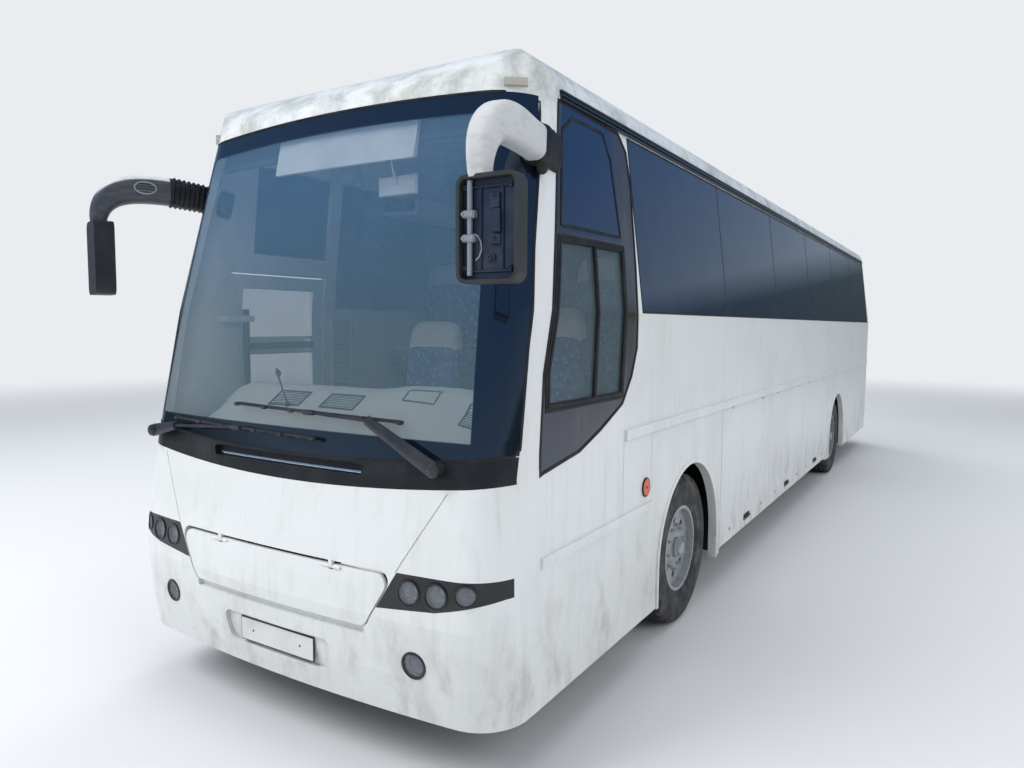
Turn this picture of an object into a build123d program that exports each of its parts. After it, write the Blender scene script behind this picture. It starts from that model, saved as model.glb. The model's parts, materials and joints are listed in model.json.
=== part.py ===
from build123d import *
import os

os.makedirs("parts", exist_ok=True)

# Units are millimetres.  +Z is up, the front faces -Y and +X is the left side.
# A station s is the distance behind the foremost point of the nose.

# Overall size
LENGTH = 12300.0
WIDTH = 2550.0
ROOF_Z = 3490.0
SKIRT_Z = 300.0
BELT_Z = 2140.0
CANT_Z = 3165.0
CANT_LEAN = 125.0
HALF = WIDTH / 2
Y_NOSE = -LENGTH / 2
REACH = 300.0

# Thicknesses and gaps
GLASS = 8.0
LENS = 20.0
PANEL = 40.0
WALL = 50.0
GAP = 8.0
SEAM = 5.0
FRAME_T = 35.0
INSIDE = HALF - WALL

# Plan shape of the body
FRONT_BOW_R = 10000.0
REAR_BOW_R = 14000.0
FRONT_CORNER_R = 250.0
REAR_CORNER_R = 160.0

# Slopes above the cowl and above the belt
COWL_Z = 1400.0
COWL_S = 84.0
SCREEN_LEAN = 386.0
REAR_LEAN = 150.0
SCREEN_SLOPE = SCREEN_LEAN / (CANT_Z - COWL_Z)
SIDE_SLOPE = CANT_LEAN / (CANT_Z - BELT_Z)
REAR_SLOPE = REAR_LEAN / (CANT_Z - BELT_Z)

# Roof edge in cross section
ROOF_EDGE_DROP = 160.0
ROOF_EDGE_R = 190.0
# How far the roof's cross section stands outside the flat sides, so that only its edges cut
ROOF_SIDE_ROOM = 0.5
# How far the ends of the roof's long section stand ahead of the windscreen and behind the rear
DOME_LEAD = 3.0

# Roof in long section: how far back from the eave, how far below the roof top
FRONT_EAVE_Z = 3200.0
FRONT_DOME = ((160.0, 140.0), (520.0, 45.0), (1220.0, -5.0))
REAR_EAVE_Z = 3225.0
REAR_DOME = ((90.0, 110.0), (330.0, 40.0), (1100.0, -5.0))

# Wheels and axles
TYRE_R = 520.0
TYRE_W = 290.0
RIM_R = 286.0
RIM_T = 12.0
RIM_FLANGE = 18.0
FRONT_AXLE_S = 2550.0
WHEELBASE = 6350.0
REAR_AXLE_S = FRONT_AXLE_S + WHEELBASE
WHEEL_OUTER_X = 1235.0
TWIN_GAP = 36.0
OUTER_WHEEL_X = WHEEL_OUTER_X - TYRE_W / 2
INNER_WHEEL_X = OUTER_WHEEL_X - TYRE_W - TWIN_GAP
KINGPIN_X = 850.0
KINGPIN_R = 25.0
SPINDLE_R = 45.0
HUB_R = 70.0
RUNNING_FIT = 0.1
ARCH_R = 605.0
ARCH_LIP = 28.0
ARCH_PROUD = 12.0

# Floors
FLOOR_Z = 1450.0
FLOOR_T = 50.0
CAB_FLOOR_Z = 950.0
CAB_FLOOR_T = 40.0
CAB_END_S = 1880.0

# Luggage flaps and the bays behind them
FLAP_S0 = 3285.0
FLAP_PITCH = 1600.0
FLAP_COUNT = 3
FLAP_S1 = FLAP_S0 + FLAP_PITCH * FLAP_COUNT
FLAP_Z0 = 340.0
FLAP_Z1 = 1428.0
HINGE_BELOW = 7.0

# Top hinges: barrel, pin, and the lug that hangs from the wall
BARREL_R = 8.0
HINGE_PIN_R = 4.0
BARREL_HALF = 60.0
LUG_HALF = 10.0
LUG_RISE = 30.0

# Seam lines seen from the side, as (s, z) points going up
FRONT_SEAM = ((440.0, SKIRT_Z - WALL), (440.0, 1500.0), (470.0, 1850.0), (650.0, 2510.0), (800.0, CANT_Z))
SCREEN_EDGE = ((285.0, 1200.0), (285.0, 1404.0), (312.0, 1531.0), (390.0, 1970.0), (485.0, 2404.0),
               (585.0, 2784.0), (660.0, CANT_Z), (660.0, ROOF_Z))
ROOF_SEAM_S = 950.0
REAR_SEAM_S = LENGTH - 300.0

# Front door, on the right side
DOOR_S0 = 740.0
DOOR_S1 = 1560.0
DOOR_Z0 = 330.0
DOOR_Z1 = 2400.0
DOOR_COLUMN_X = -1165.0
DOOR_COLUMN_IN = 80.0
DOOR_COLUMN_R = 22.0
DOOR_ARM = 550.0
DOOR_ARM_Z = (820.0, 1900.0)
DOOR_ARM_T = 40.0
DOOR_PIN_R = 10.0
DOOR_COLUMN_S = DOOR_S0 + DOOR_COLUMN_IN


def span(x0, x1, s0, s1, z0, z1):
    """Box between two corners."""
    size = Box(x1 - x0, s1 - s0, z1 - z0)
    return Pos((x0 + x1) / 2, Y_NOSE + (s0 + s1) / 2, (z0 + z1) / 2) * size


def both(part):
    """The part and its mirror image on the other side."""
    return part + mirror(part, Plane.YZ)


def side_prism(points, x0, x1):
    """Outline given as (s, z) points, extruded from x0 to x1."""
    outline = [(Y_NOSE + s, z) for s, z in points]
    placed = Plane.YZ.offset(x0) * make_face(Polyline(*outline, close=True))
    return extrude(placed, x1 - x0, dir=(1, 0, 0))


def front_extrude(face, s0, s1):
    """Face drawn in (x, z), extruded from s0 to s1."""
    placed = Plane(origin=(0, Y_NOSE + s0, 0), x_dir=(1, 0, 0), z_dir=(0, -1, 0)) * face
    return extrude(placed, s1 - s0, dir=(0, 1, 0))


def front_prism(points, s0, s1, radius=0.0):
    """Outline given as (x, z) points, its corners rounded, extruded from s0 to s1."""
    face = make_face(Polyline(*points, close=True))
    if radius:
        face = fillet(face.vertices(), radius)
    return front_extrude(face, s0, s1)


def arched(low, high, s0, s1):
    """Panel with arched edges; low and high each give half width, middle height and end height."""
    (low_x, low_mid, low_end), (high_x, high_mid, high_end) = low, high
    edges = (ThreePointArc((-low_x, low_end), (0, low_mid), (low_x, low_end)),
             Line((low_x, low_end), (high_x, high_end)),
             ThreePointArc((high_x, high_end), (0, high_mid), (-high_x, high_end)),
             Line((-high_x, high_end), (-low_x, low_end)))
    return front_extrude(make_face(edges), s0, s1)


def cylinder_x(x0, x1, s, z, r):
    return Pos((x0 + x1) / 2, Y_NOSE + s, z) * Rot(0, 90, 0) * Cylinder(r, x1 - x0)


def cylinder_y(x, s0, s1, z, r):
    return Pos(x, Y_NOSE + (s0 + s1) / 2, z) * Rot(90, 0, 0) * Cylinder(r, s1 - s0)


def cylinder_z(x, s, z0, z1, r):
    return Pos(x, Y_NOSE + s, (z0 + z1) / 2) * Cylinder(r, z1 - z0)


# The whole outer shape of the body

# Plan sections: height, half width, nose set back, tail set in
PLAN_SECTIONS = (
    (SKIRT_Z, HALF, 60.0, 50.0),
    (500.0, HALF, 22.0, 20.0),
    (760.0, HALF, 0.0, 0.0),
    (1020.0, HALF, 20.0, 0.0),
    (COWL_Z, HALF, COWL_S, 0.0),
    (BELT_Z, HALF, COWL_S + SCREEN_SLOPE * (BELT_Z - COWL_Z), 0.0),
    (ROOF_Z + WALL, HALF - SIDE_SLOPE * (ROOF_Z + WALL - BELT_Z),
     COWL_S + SCREEN_SLOPE * (ROOF_Z + WALL - COWL_Z), REAR_SLOPE * (ROOF_Z + WALL - BELT_Z)),
)


def plan_section(z, half, front, rear, inset):
    """Plan outline of the body at one height: bowed ends and rounded corners."""
    w = half - inset
    y0 = Y_NOSE + front + inset
    y1 = -Y_NOSE - rear - inset
    front_sag = w * w / (2 * FRONT_BOW_R)
    rear_sag = w * w / (2 * REAR_BOW_R)
    with BuildSketch(Plane.XY.offset(z)) as section:
        with BuildLine():
            ThreePointArc((-w, y0 + front_sag), (0, y0), (w, y0 + front_sag))
            Line((w, y0 + front_sag), (w, y1 - rear_sag))
            ThreePointArc((w, y1 - rear_sag), (0, y1), (-w, y1 - rear_sag))
            Line((-w, y1 - rear_sag), (-w, y0 + front_sag))
        make_face()
        fillet(section.vertices().sort_by(Axis.Y)[:2], FRONT_CORNER_R - inset)
        fillet(section.vertices().sort_by(Axis.Y)[-2:], REAR_CORNER_R - inset)
    return section.sketch.face()


def roof_tool(inset):
    """Cross section of the roof with its rounded side edges, drawn out along the bus."""
    edge_z = ROOF_Z - ROOF_EDGE_DROP
    edge_x = HALF - SIDE_SLOPE * (edge_z - BELT_Z) - inset + ROOF_SIDE_ROOM
    cant_x = HALF - CANT_LEAN - inset + ROOF_SIDE_ROOM
    low_x = HALF - inset + ROOF_SIDE_ROOM
    with BuildSketch(Plane.XZ.offset(-LENGTH)) as section:
        with BuildLine():
            Polyline((-edge_x, edge_z - inset), (-cant_x, CANT_Z), (-low_x, BELT_Z), (-low_x, 0), (low_x, 0),
                     (low_x, BELT_Z), (cant_x, CANT_Z), (edge_x, edge_z - inset))
            ThreePointArc((edge_x, edge_z - inset), (0, ROOF_Z - inset), (-edge_x, edge_z - inset))
        make_face()
        edges = section.vertices().filter_by(lambda v: abs(v.Y - edge_z + inset) < 1)
        fillet(edges, ROOF_EDGE_R - inset)
    return extrude(section.sketch, 2 * LENGTH, dir=(0, -1, 0))


def dome_tool(inset):
    """Long section of the roof, rounded down to the windscreen and the rear window."""
    nose = Y_NOSE + COWL_S + SCREEN_SLOPE * (FRONT_EAVE_Z - COWL_Z) + inset - DOME_LEAD
    tail = -Y_NOSE - REAR_SLOPE * (REAR_EAVE_Z - BELT_Z) - inset + DOME_LEAD
    front = [(nose + back, ROOF_Z - drop - inset) for back, drop in FRONT_DOME]
    rear = [(tail - back, ROOF_Z - drop - inset) for back, drop in REAR_DOME]
    ahead = Y_NOSE - REACH
    behind = -Y_NOSE + REACH
    with BuildSketch(Plane.YZ.offset(-WIDTH)) as section:
        with BuildLine():
            Polyline((nose, FRONT_EAVE_Z - inset), (ahead, FRONT_EAVE_Z - inset), (ahead, 0), (behind, 0),
                     (behind, REAR_EAVE_Z - inset), (tail, REAR_EAVE_Z - inset))
            ThreePointArc((tail, REAR_EAVE_Z - inset), rear[0], rear[1])
            Polyline(rear[1], rear[2], front[2], front[1])
            ThreePointArc(front[1], front[0], (nose, FRONT_EAVE_Z - inset))
        make_face()
    return extrude(section.sketch, 2 * WIDTH, dir=(1, 0, 0))


def form(inset, drop=0.0):
    """The outer shape of the body, set in by an inset and open below by a drop."""
    sections = [plan_section(z, half, front, rear, inset) for z, half, front, rear in PLAN_SECTIONS]
    if drop:
        sections.insert(0, plan_section(SKIRT_Z - drop, *PLAN_SECTIONS[0][1:], inset))
    return loft(sections, ruled=True) & roof_tool(inset) & dome_tool(inset)


def skin(thickness):
    """Outer layer of the body, open below."""
    layer = OUTER - form(thickness, drop=WALL)
    return layer.solids().sort_by(SortBy.VOLUME)[-1]


OUTER = form(0)
WALL_SKIN = skin(WALL)
GLASS_SKIN = skin(GLASS)
LENS_SKIN = skin(LENS)
PANEL_SKIN = skin(PANEL)

# Halves and zones that share out the skin
TOP_Z = ROOF_Z + REACH
front_zone = side_prism(FRONT_SEAM + ((ROOF_SEAM_S, CANT_Z), (ROOF_SEAM_S, TOP_Z), (-REACH, TOP_Z),
                                      (-REACH, SKIRT_Z - WALL)), -WIDTH, WIDTH)
left_side_zone = side_prism(FRONT_SEAM + ((REAR_SEAM_S, CANT_Z), (REAR_SEAM_S, SKIRT_Z - WALL)), 0, WIDTH)
rear_zone = span(-WIDTH, WIDTH, REAR_SEAM_S, LENGTH + REACH, 0, CANT_Z)
SIDE_X = HALF - CANT_LEAN - REACH
FRONT_DEPTH = 900.0


def left_box(s0, s1, z0, z1):
    """Box through the left side wall."""
    return span(SIDE_X, WIDTH, s0, s1, z0, z1)


def right_box(s0, s1, z0, z1):
    """Box through the right side wall."""
    return span(-WIDTH, -SIDE_X, s0, s1, z0, z1)


def grooves(lines, deep_skin):
    """Panel seams cut into the front along straight lines between (x, z) points."""
    cuts = []
    for (x0, z0), (x1, z1) in lines:
        along = Vector(x1 - x0, z1 - z0)
        nudge = Vector(-along.Y, along.X).normalized() * (SEAM / 2)
        corners = [(x0 + nudge.X, z0 + nudge.Y), (x1 + nudge.X, z1 + nudge.Y),
                   (x1 - nudge.X, z1 - nudge.Y), (x0 - nudge.X, z0 - nudge.Y)]
        cuts.append(deep_skin & front_prism(corners, -REACH, REACH))
    return cuts


# Windscreen and cowl: half width, height in the middle, height at the ends
SCREEN_LOW = (HALF + 50, 1432.0, 1514.0)
SCREEN_HIGH = (HALF + 50, 3165.0, 3115.0)
SCREEN_OPENING_LOW = (1180.0, 1480.0, 1550.0)
SCREEN_OPENING_HIGH = (1060.0, 3100.0, 3065.0)
COWL_LOW = (HALF + 50, 1308.0, 1393.0)
SCREEN_JOINT = 4.0
SLOT_X = 520.0
SLOT_Z = (1372.0, 1425.0)
SLOT_DEPTH = 30.0

ahead_of_pillar = side_prism(SCREEN_EDGE + ((-REACH, ROOF_Z), (-REACH, SCREEN_EDGE[0][1])), -WIDTH, WIDTH)
screen_zone = arched(SCREEN_LOW, SCREEN_HIGH, -REACH, FRONT_DEPTH) & ahead_of_pillar
screen_hole = arched(SCREEN_OPENING_LOW, SCREEN_OPENING_HIGH, -REACH, FRONT_DEPTH)
windscreen = GLASS_SKIN & screen_zone
COWL_HIGH = (SCREEN_LOW[0], SCREEN_LOW[1] - SCREEN_JOINT, SCREEN_LOW[2] - SCREEN_JOINT)
cowl_skin = PANEL_SKIN & (arched(COWL_LOW, COWL_HIGH, -REACH, FRONT_DEPTH) & ahead_of_pillar)
slot_corners = ((-SLOT_X, SLOT_Z[0]), (SLOT_X, SLOT_Z[0]), (SLOT_X + 20, SLOT_Z[1]), (-SLOT_X - 20, SLOT_Z[1]))
slot_skin = skin(SLOT_DEPTH)
cowl_panel = cowl_skin - (slot_skin & front_prism(slot_corners, -REACH, REACH, radius=14))

# Front flap under the upper panel, as (x, z) points
FRONT_FLAP = ((-752.0, 955.0), (752.0, 955.0), (600.0, 700.0), (-600.0, 700.0))
FRONT_FLAP_R = 50.0
FRONT_FLAP_T = 18.0
FLAP_TOP_GAP = 16.0
FLAP_END_GAP = 10.0
FRONT_HINGE_DOWN = 10.0
FRONT_HINGE_S = 22.0
FRONT_HINGE_X = (-400.0, 400.0)
flap_zone = front_prism(FRONT_FLAP, -REACH, REACH, radius=FRONT_FLAP_R)
(top_x, top_z), (low_x, low_z) = FRONT_FLAP[1:3]
end_slope = (top_x - low_x) / (top_z - low_z)
gap_top = (top_x + FLAP_END_GAP + FLAP_TOP_GAP * end_slope, top_z + FLAP_TOP_GAP)
gap_low = (low_x + FLAP_END_GAP - GAP * end_slope, low_z - GAP)
flap_gap_outline = ((-gap_top[0], gap_top[1]), gap_top, gap_low, (-gap_low[0], gap_low[1]))
flap_gap = front_prism(flap_gap_outline, -REACH, REACH, radius=FRONT_FLAP_R)
front_flap = skin(FRONT_FLAP_T) & flap_zone

# Slanted seams from the cowl down to the flap
PANEL_SEAMS = (((1000.0, 1340.0), (772.0, 975.0)), ((-1000.0, 1340.0), (-772.0, 975.0)))

# Head lamp panels wrap the front corners, as (x, z) points
LAMP_OUTLINE = ((672.0, 802.0), (777.0, 975.0), (1500.0, 985.0), (1500.0, 905.0), (1250.0, 898.0), (985.0, 832.0))
LAMP_BACK_S = 250.0
# Lamps: x, z, radius
HEAD_LAMPS = ((845.0, 896.0, 60.0), (985.0, 903.0, 60.0), (1122.0, 921.0, 50.0))
FOG_LAMP = (867.0, 569.0, 62.0)
MARKER_LAMP = (1053.0, 580.0, 3180.0)
MARKER_SIZE = (110.0, 60.0, 34.0)
MARKER_TURN = 37.0
REFLECTOR = (1716.0, 1112.0, 50.0)
REFLECTOR_T = 10.0
lamp_zone = front_prism(LAMP_OUTLINE, -REACH, LAMP_BACK_S)
lamp_shafts = [cylinder_y(x, -REACH, LAMP_BACK_S + WALL, z, r) for x, z, r in HEAD_LAMPS]
fog_shaft = cylinder_y(FOG_LAMP[0], -REACH, LAMP_BACK_S, FOG_LAMP[1], FOG_LAMP[2])
headlamp_panels = both((PANEL_SKIN & lamp_zone) - lamp_shafts)
marker_place = Pos(MARKER_LAMP[0], Y_NOSE + MARKER_LAMP[1], MARKER_LAMP[2]) * Rot(0, 0, MARKER_TURN)
marker = marker_place * Box(*MARKER_SIZE) - OUTER
reflector = cylinder_x(HALF, HALF + REFLECTOR_T, REFLECTOR[0], REFLECTOR[1], REFLECTOR[2])
lamp_lenses = Part()
for piece in [LENS_SKIN & shaft for shaft in lamp_shafts + [fog_shaft]] + [marker, reflector]:
    lamp_lenses += both(piece)

# Bumper under the panels, with the ledge under the flap and a bare plate recess
BUMPER_Z1 = 700.0
LEDGE_X = 600.0
LEDGE_H = 38.0
LEDGE_DEPTH = 24.0
PLATE_RECESS = ((-390.0, 580.0), (390.0, 580.0), (350.0, 420.0), (-350.0, 420.0))
PLATE_DEPTH = 22.0
bumper_zone = front_zone & span(-WIDTH, WIDTH, -REACH, FRONT_DEPTH, 0, BUMPER_Z1)
ledge = skin(LEDGE_DEPTH) & span(-LEDGE_X, LEDGE_X, -REACH, REACH, BUMPER_Z1 - LEDGE_H, BUMPER_Z1)
plate_recess = skin(PLATE_DEPTH) & front_prism(PLATE_RECESS, -REACH, REACH, radius=40)
front_bumper = (WALL_SKIN & bumper_zone) - [ledge, plate_recess, both(fog_shaft)]

front_shell = (WALL_SKIN & front_zone) - [bumper_zone, screen_hole, windscreen, cowl_skin, flap_gap, both(lamp_zone)]
front_shell -= grooves(PANEL_SEAMS, GLASS_SKIN)


def along_y(r, y0, y1):
    return Pos(0, (y0 + y1) / 2, 0) * Rot(90, 0, 0) * Cylinder(r, y1 - y0)


def hinge(place):
    """Lug with its pin, the barrels round the pin, and the notch for the lug.

    The axis runs along Y through the origin, the wall is above and the outside is +X."""
    lug = along_y(BARREL_R, -LUG_HALF, LUG_HALF)
    lug += Pos(-(PANEL - 2 * BARREL_R) / 8, 0, LUG_RISE / 2) * Box(2 * BARREL_R + 5, 2 * LUG_HALF, LUG_RISE)
    lug += along_y(HINGE_PIN_R, -BARREL_HALF + LUG_HALF, BARREL_HALF - LUG_HALF)
    barrel = along_y(BARREL_R, -BARREL_HALF, BARREL_HALF)
    bore = along_y(HINGE_PIN_R + RUNNING_FIT, -BARREL_HALF - 1, BARREL_HALF + 1)
    notch = Pos(-2 * BARREL_R + 1, 0, 0) * Box(2 * PANEL, 3 * LUG_HALF, 4 * BARREL_R - 2)
    return place * lug, place * barrel, place * bore, place * notch


def hang(flap, wall, places):
    """Hinge a flap to its wall at each place."""
    for place in places:
        lug, barrel, bore, notch = hinge(place)
        flap = flap + barrel - [bore, notch]
        wall = wall + lug
    return flap, wall


front_places = [Pos(x, Y_NOSE + FRONT_HINGE_S, FRONT_FLAP[0][1] - FRONT_HINGE_DOWN) * Rot(0, 0, -90)
                for x in FRONT_HINGE_X]
front_flap, front_shell = hang(front_flap, front_shell, front_places)

# Driver window: one glass unit that sweeps down at the front, as (s, z) points
SWEEP = ((440.0, 1385.0), (590.0, 1420.0), (836.0, 1454.0), (1081.0, 1535.0), (1352.0, 1645.0), (1474.0, 1790.0),
         (1544.0, 1944.0), (1548.0, 2160.0), (1579.0, 2400.0), (1615.0, 2860.0), (1590.0, 3050.0), (1500.0, 3140.0),
         (800.0, 3150.0)) + FRONT_SEAM[-2:0:-1]
SASH = ((490.0, 1672.0), (1360.0, 1672.0), (1435.0, 2507.0), (672.0, 2497.0), (490.0, 1860.0))
SASH_PANES = (
    ((530.0, 1712.0), (985.0, 1712.0), (1045.0, 2466.0), (702.0, 2460.0), (530.0, 1850.0)),
    ((1015.0, 1712.0), (1320.0, 1712.0), (1390.0, 2470.0), (1075.0, 2466.0)),
)
SEE_THROUGH = (
    ((520.0, 1480.0), (790.0, 1500.0), (1060.0, 1590.0), (1200.0, 1640.0), (520.0, 1640.0)),
    ((710.0, 2540.0), (1400.0, 2550.0), (1360.0, 2960.0), (1290.0, 3090.0), (940.0, 3090.0), (820.0, 3010.0)),
)
sweep_zone = side_prism(SWEEP, SIDE_X, WIDTH)
sash_zone = side_prism(SASH, SIDE_X, WIDTH)
sash_holes = [side_prism(outline, SIDE_X, WIDTH) for outline in SASH_PANES]
see_through = [side_prism(outline, SIDE_X, WIDTH) for outline in SEE_THROUGH]
window_skin = GLASS_SKIN & sweep_zone & left_side_zone
driver_window_glass = window_skin - sash_zone
driver_window_frame = (PANEL_SKIN & sweep_zone & left_side_zone) - ([driver_window_glass] + sash_holes + see_through)
sash_depth = LENS_SKIN - GLASS_SKIN
driver_sash_panes = Part()
for hole in sash_holes:
    driver_sash_panes += sash_depth & hole

# Side windows, flush panes with thin seams
PANE_S0 = 1620.0
PANE_COUNT = 6
PANE_TOP_Z = 3140.0
PANE_BACKING = 45.0
PANE_END = REAR_SEAM_S - 30.0
PANE_PITCH = (PANE_END - PANE_S0) / PANE_COUNT
FRONT_PANE_S0 = 860.0
FRONT_PANE_Z0 = DOOR_Z1 + 90.0
pane_boxes = []
pane_holes = []
for number in range(PANE_COUNT):
    start = PANE_S0 + PANE_PITCH * number
    end = start + PANE_PITCH - SEAM
    pane_boxes.append(left_box(start, end, BELT_Z, PANE_TOP_Z))
    pane_holes.append(left_box(start + PANE_BACKING, end - PANE_BACKING, BELT_Z + 40, PANE_TOP_Z - 40))
pane_zone = Part() + pane_boxes
hole_zone = Part() + pane_holes
left_panes = GLASS_SKIN & pane_zone
over_door_pane = GLASS_SKIN & right_box(FRONT_PANE_S0, PANE_S0 - SEAM, FRONT_PANE_Z0, PANE_TOP_Z)
over_door_hole = right_box(FRONT_PANE_S0 + PANE_BACKING, PANE_S0 - PANE_BACKING, FRONT_PANE_Z0 + 40, PANE_TOP_Z - 40)

# Rails along the sides: s from, s to, z from, z to, how far proud
SIDE_RAILS = ((1384.0, REAR_SEAM_S, 1435.0, 1490.0, 20.0), (460.0, 1815.0, 965.0, 1013.0, 14.0))
RAIL_ROOT = 5.0
# Upright seams of the side panels: s, z from, z to
SIDE_SEAMS = ((1384.0, 1013.0, 1435.0), (1809.0, 1013.0, 1435.0), (FLAP_S0, 1490.0, 2100.0))
arches = []
arch_lips = []
for s in (FRONT_AXLE_S, REAR_AXLE_S):
    arches.append(cylinder_x(SIDE_X, WIDTH, s, TYRE_R, ARCH_R) + left_box(s - ARCH_R, s + ARCH_R, 0, TYRE_R))
    lip = cylinder_x(INSIDE, HALF + ARCH_PROUD, s, TYRE_R, ARCH_R + ARCH_LIP)
    lip += span(INSIDE, HALF + ARCH_PROUD, s - ARCH_R - ARCH_LIP, s + ARCH_R + ARCH_LIP, SKIRT_Z, TYRE_R)
    arch_lips.append(lip & span(0, WIDTH, 0, LENGTH, SKIRT_Z, BELT_Z))
rails = [span(HALF - RAIL_ROOT, HALF + proud, s0, s1, z0, z1) for s0, s1, z0, z1, proud in SIDE_RAILS]
seam_cuts = [span(HALF - GLASS, WIDTH, s - SEAM / 2, s + SEAM / 2, z0, z1) for s, z0, z1 in SIDE_SEAMS]
flap_hole = left_box(FLAP_S0 - GAP / 2, FLAP_S1 + GAP / 2, 0, FLAP_Z1 + GAP)
plain_side = (WALL_SKIN & left_side_zone) + (arch_lips + rails[:1])
plain_side -= arches + [flap_hole, left_panes, hole_zone] + seam_cuts
side_wall_left = (plain_side + rails[1:]) - ([PANEL_SKIN & sweep_zone, sash_zone] + see_through)

# Right side: the same wall with the doorway and the column's bearings
BEARINGS = (520.0, 2080.0)
BEARING_T = 40.0
BEARING_IN_X = -1130.0
door_hole = right_box(DOOR_S0, DOOR_S1, 0, DOOR_Z1)
bearings = []
for z in BEARINGS:
    bearings.append(span(-INSIDE + 15, BEARING_IN_X, DOOR_S0 - 90, DOOR_COLUMN_S + 40, z, z + BEARING_T))
    bearings.append(span(-INSIDE, BEARING_IN_X, DOOR_S0 - 90, DOOR_S0 - 10, z, z + BEARING_T))
column_bore = cylinder_z(DOOR_COLUMN_X, DOOR_COLUMN_S, 450, DOOR_Z1, DOOR_COLUMN_R + RUNNING_FIT)
side_wall_right = mirror(plain_side, Plane.YZ) - [over_door_pane, over_door_hole, door_hole]
side_wall_right = (side_wall_right + bearings) - column_bore

luggage_flaps = []
for number in range(FLAP_COUNT):
    s0 = FLAP_S0 + FLAP_PITCH * number + GAP / 2
    s1 = FLAP_S0 + FLAP_PITCH * (number + 1) - GAP / 2
    flap = PANEL_SKIN & left_box(s0, s1, FLAP_Z0, FLAP_Z1)
    places = [Pos(HALF, Y_NOSE + s, FLAP_Z1 - HINGE_BELOW) for s in (s0 + 300, s1 - 300)]
    flap, side_wall_left = hang(flap, side_wall_left, places)
    side_wall_right += [mirror(hinge(place)[0], Plane.YZ) for place in places]
    luggage_flaps.append(flap)

# Ridged gutter rail along each roof edge: height above its foot, how far proud
GUTTER_S0 = 830.0
GUTTER_S1 = LENGTH - 420.0
GUTTER_Z = 3148.0
GUTTER_RIDGES = ((0.0, 0.0), (0.0, 14.0), (12.0, 14.0), (14.0, 8.0), (18.0, 8.0), (20.0, 18.0), (32.0, 18.0),
                 (34.0, 8.0), (38.0, 8.0), (40.0, 14.0), (52.0, 14.0), (52.0, 0.0))


def on_side(z):
    """Half width of the body at a height between the belt and the roof edge."""
    return HALF - SIDE_SLOPE * (z - BELT_Z)


gutter_outline = [(on_side(GUTTER_Z + up) + proud, GUTTER_Z + up) for up, proud in GUTTER_RIDGES]
gutter_rails = both(front_prism(gutter_outline, GUTTER_S0, GUTTER_S1))

# Roof with two hatches
HATCH_S = (3100.0, 8500.0)
HATCH_SIZE = (700.0, 700.0, 110.0)
HATCH_R = 60.0
hatch = fillet(Box(*HATCH_SIZE).edges().filter_by(Axis.Z), HATCH_R)
hatch = chamfer(hatch.faces().sort_by(Axis.Z)[-1].edges(), 15)
roof = WALL_SKIN & span(-WIDTH, WIDTH, ROOF_SEAM_S, LENGTH + REACH, CANT_Z, TOP_Z)
roof_hatches = [(Pos(0, Y_NOSE + s, ROOF_Z - 15) * hatch) - OUTER for s in HATCH_S]

# Rear wall with window, tail lamps and the engine hood
HOOD_X = 940.0
HOOD_Z = (430.0, 1360.0)
HOOD_HINGE_S = LENGTH - 3.0
HOOD_HINGE_X = (-300.0, 300.0)
REAR_GLASS = (1000.0, 2180.0, 3060.0)
REAR_GLASS_EDGE = 50.0
TAIL_LAMP = (1010.0, 1160.0, 900.0, 1500.0)
TAIL_PARTS = 4
LOUVRE_COUNT = 7
LOUVRE_PITCH = 44.0
LOUVRE_H = 20.0
LOUVRE_X = (520.0, 860.0)
LOUVRE_Z0 = 980.0
REAR_S0 = LENGTH - 900.0
rear_glass_zone = span(-REAR_GLASS[0], REAR_GLASS[0], REAR_S0, LENGTH + REACH, REAR_GLASS[1], REAR_GLASS[2])
rear_hole = span(-REAR_GLASS[0] + REAR_GLASS_EDGE, REAR_GLASS[0] - REAR_GLASS_EDGE, REAR_S0, LENGTH + REACH,
                 REAR_GLASS[1] + REAR_GLASS_EDGE, REAR_GLASS[2] - REAR_GLASS_EDGE)
rear_glass = GLASS_SKIN & rear_glass_zone
tail_boxes = []
tail_step = (TAIL_LAMP[3] - TAIL_LAMP[2]) / TAIL_PARTS
for number in range(TAIL_PARTS):
    low = TAIL_LAMP[2] + tail_step * number
    tail_boxes.append(span(TAIL_LAMP[0], TAIL_LAMP[1], LENGTH - 400, LENGTH + REACH, low, low + tail_step - SEAM))
tail_lamps = both(PANEL_SKIN & (Part() + tail_boxes))
hood_hole = span(-HOOD_X - GAP, HOOD_X + GAP, LENGTH - 400, LENGTH + REACH, HOOD_Z[0] - GAP, HOOD_Z[1] + GAP)
louvres = []
for number in range(LOUVRE_COUNT):
    low = LOUVRE_Z0 + LOUVRE_PITCH * number
    slot = span(LOUVRE_X[0], LOUVRE_X[1], LENGTH - 400, LENGTH + REACH, low, low + LOUVRE_H)
    louvres += [slot, mirror(slot, Plane.YZ)]
rear_wall = (WALL_SKIN & rear_zone) - [rear_glass, rear_hole, hood_hole, tail_lamps]
engine_hood = PANEL_SKIN & span(-HOOD_X, HOOD_X, LENGTH - 400, LENGTH + REACH, *HOOD_Z)
engine_hood -= louvres
hood_places = [Pos(x, Y_NOSE + HOOD_HINGE_S, HOOD_Z[1] - HINGE_BELOW) * Rot(0, 0, 90) for x in HOOD_HINGE_X]
engine_hood, rear_wall = hang(engine_hood, rear_wall, hood_places)
body_glass = left_panes + [mirror(left_panes, Plane.YZ), over_door_pane, rear_glass]

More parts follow.
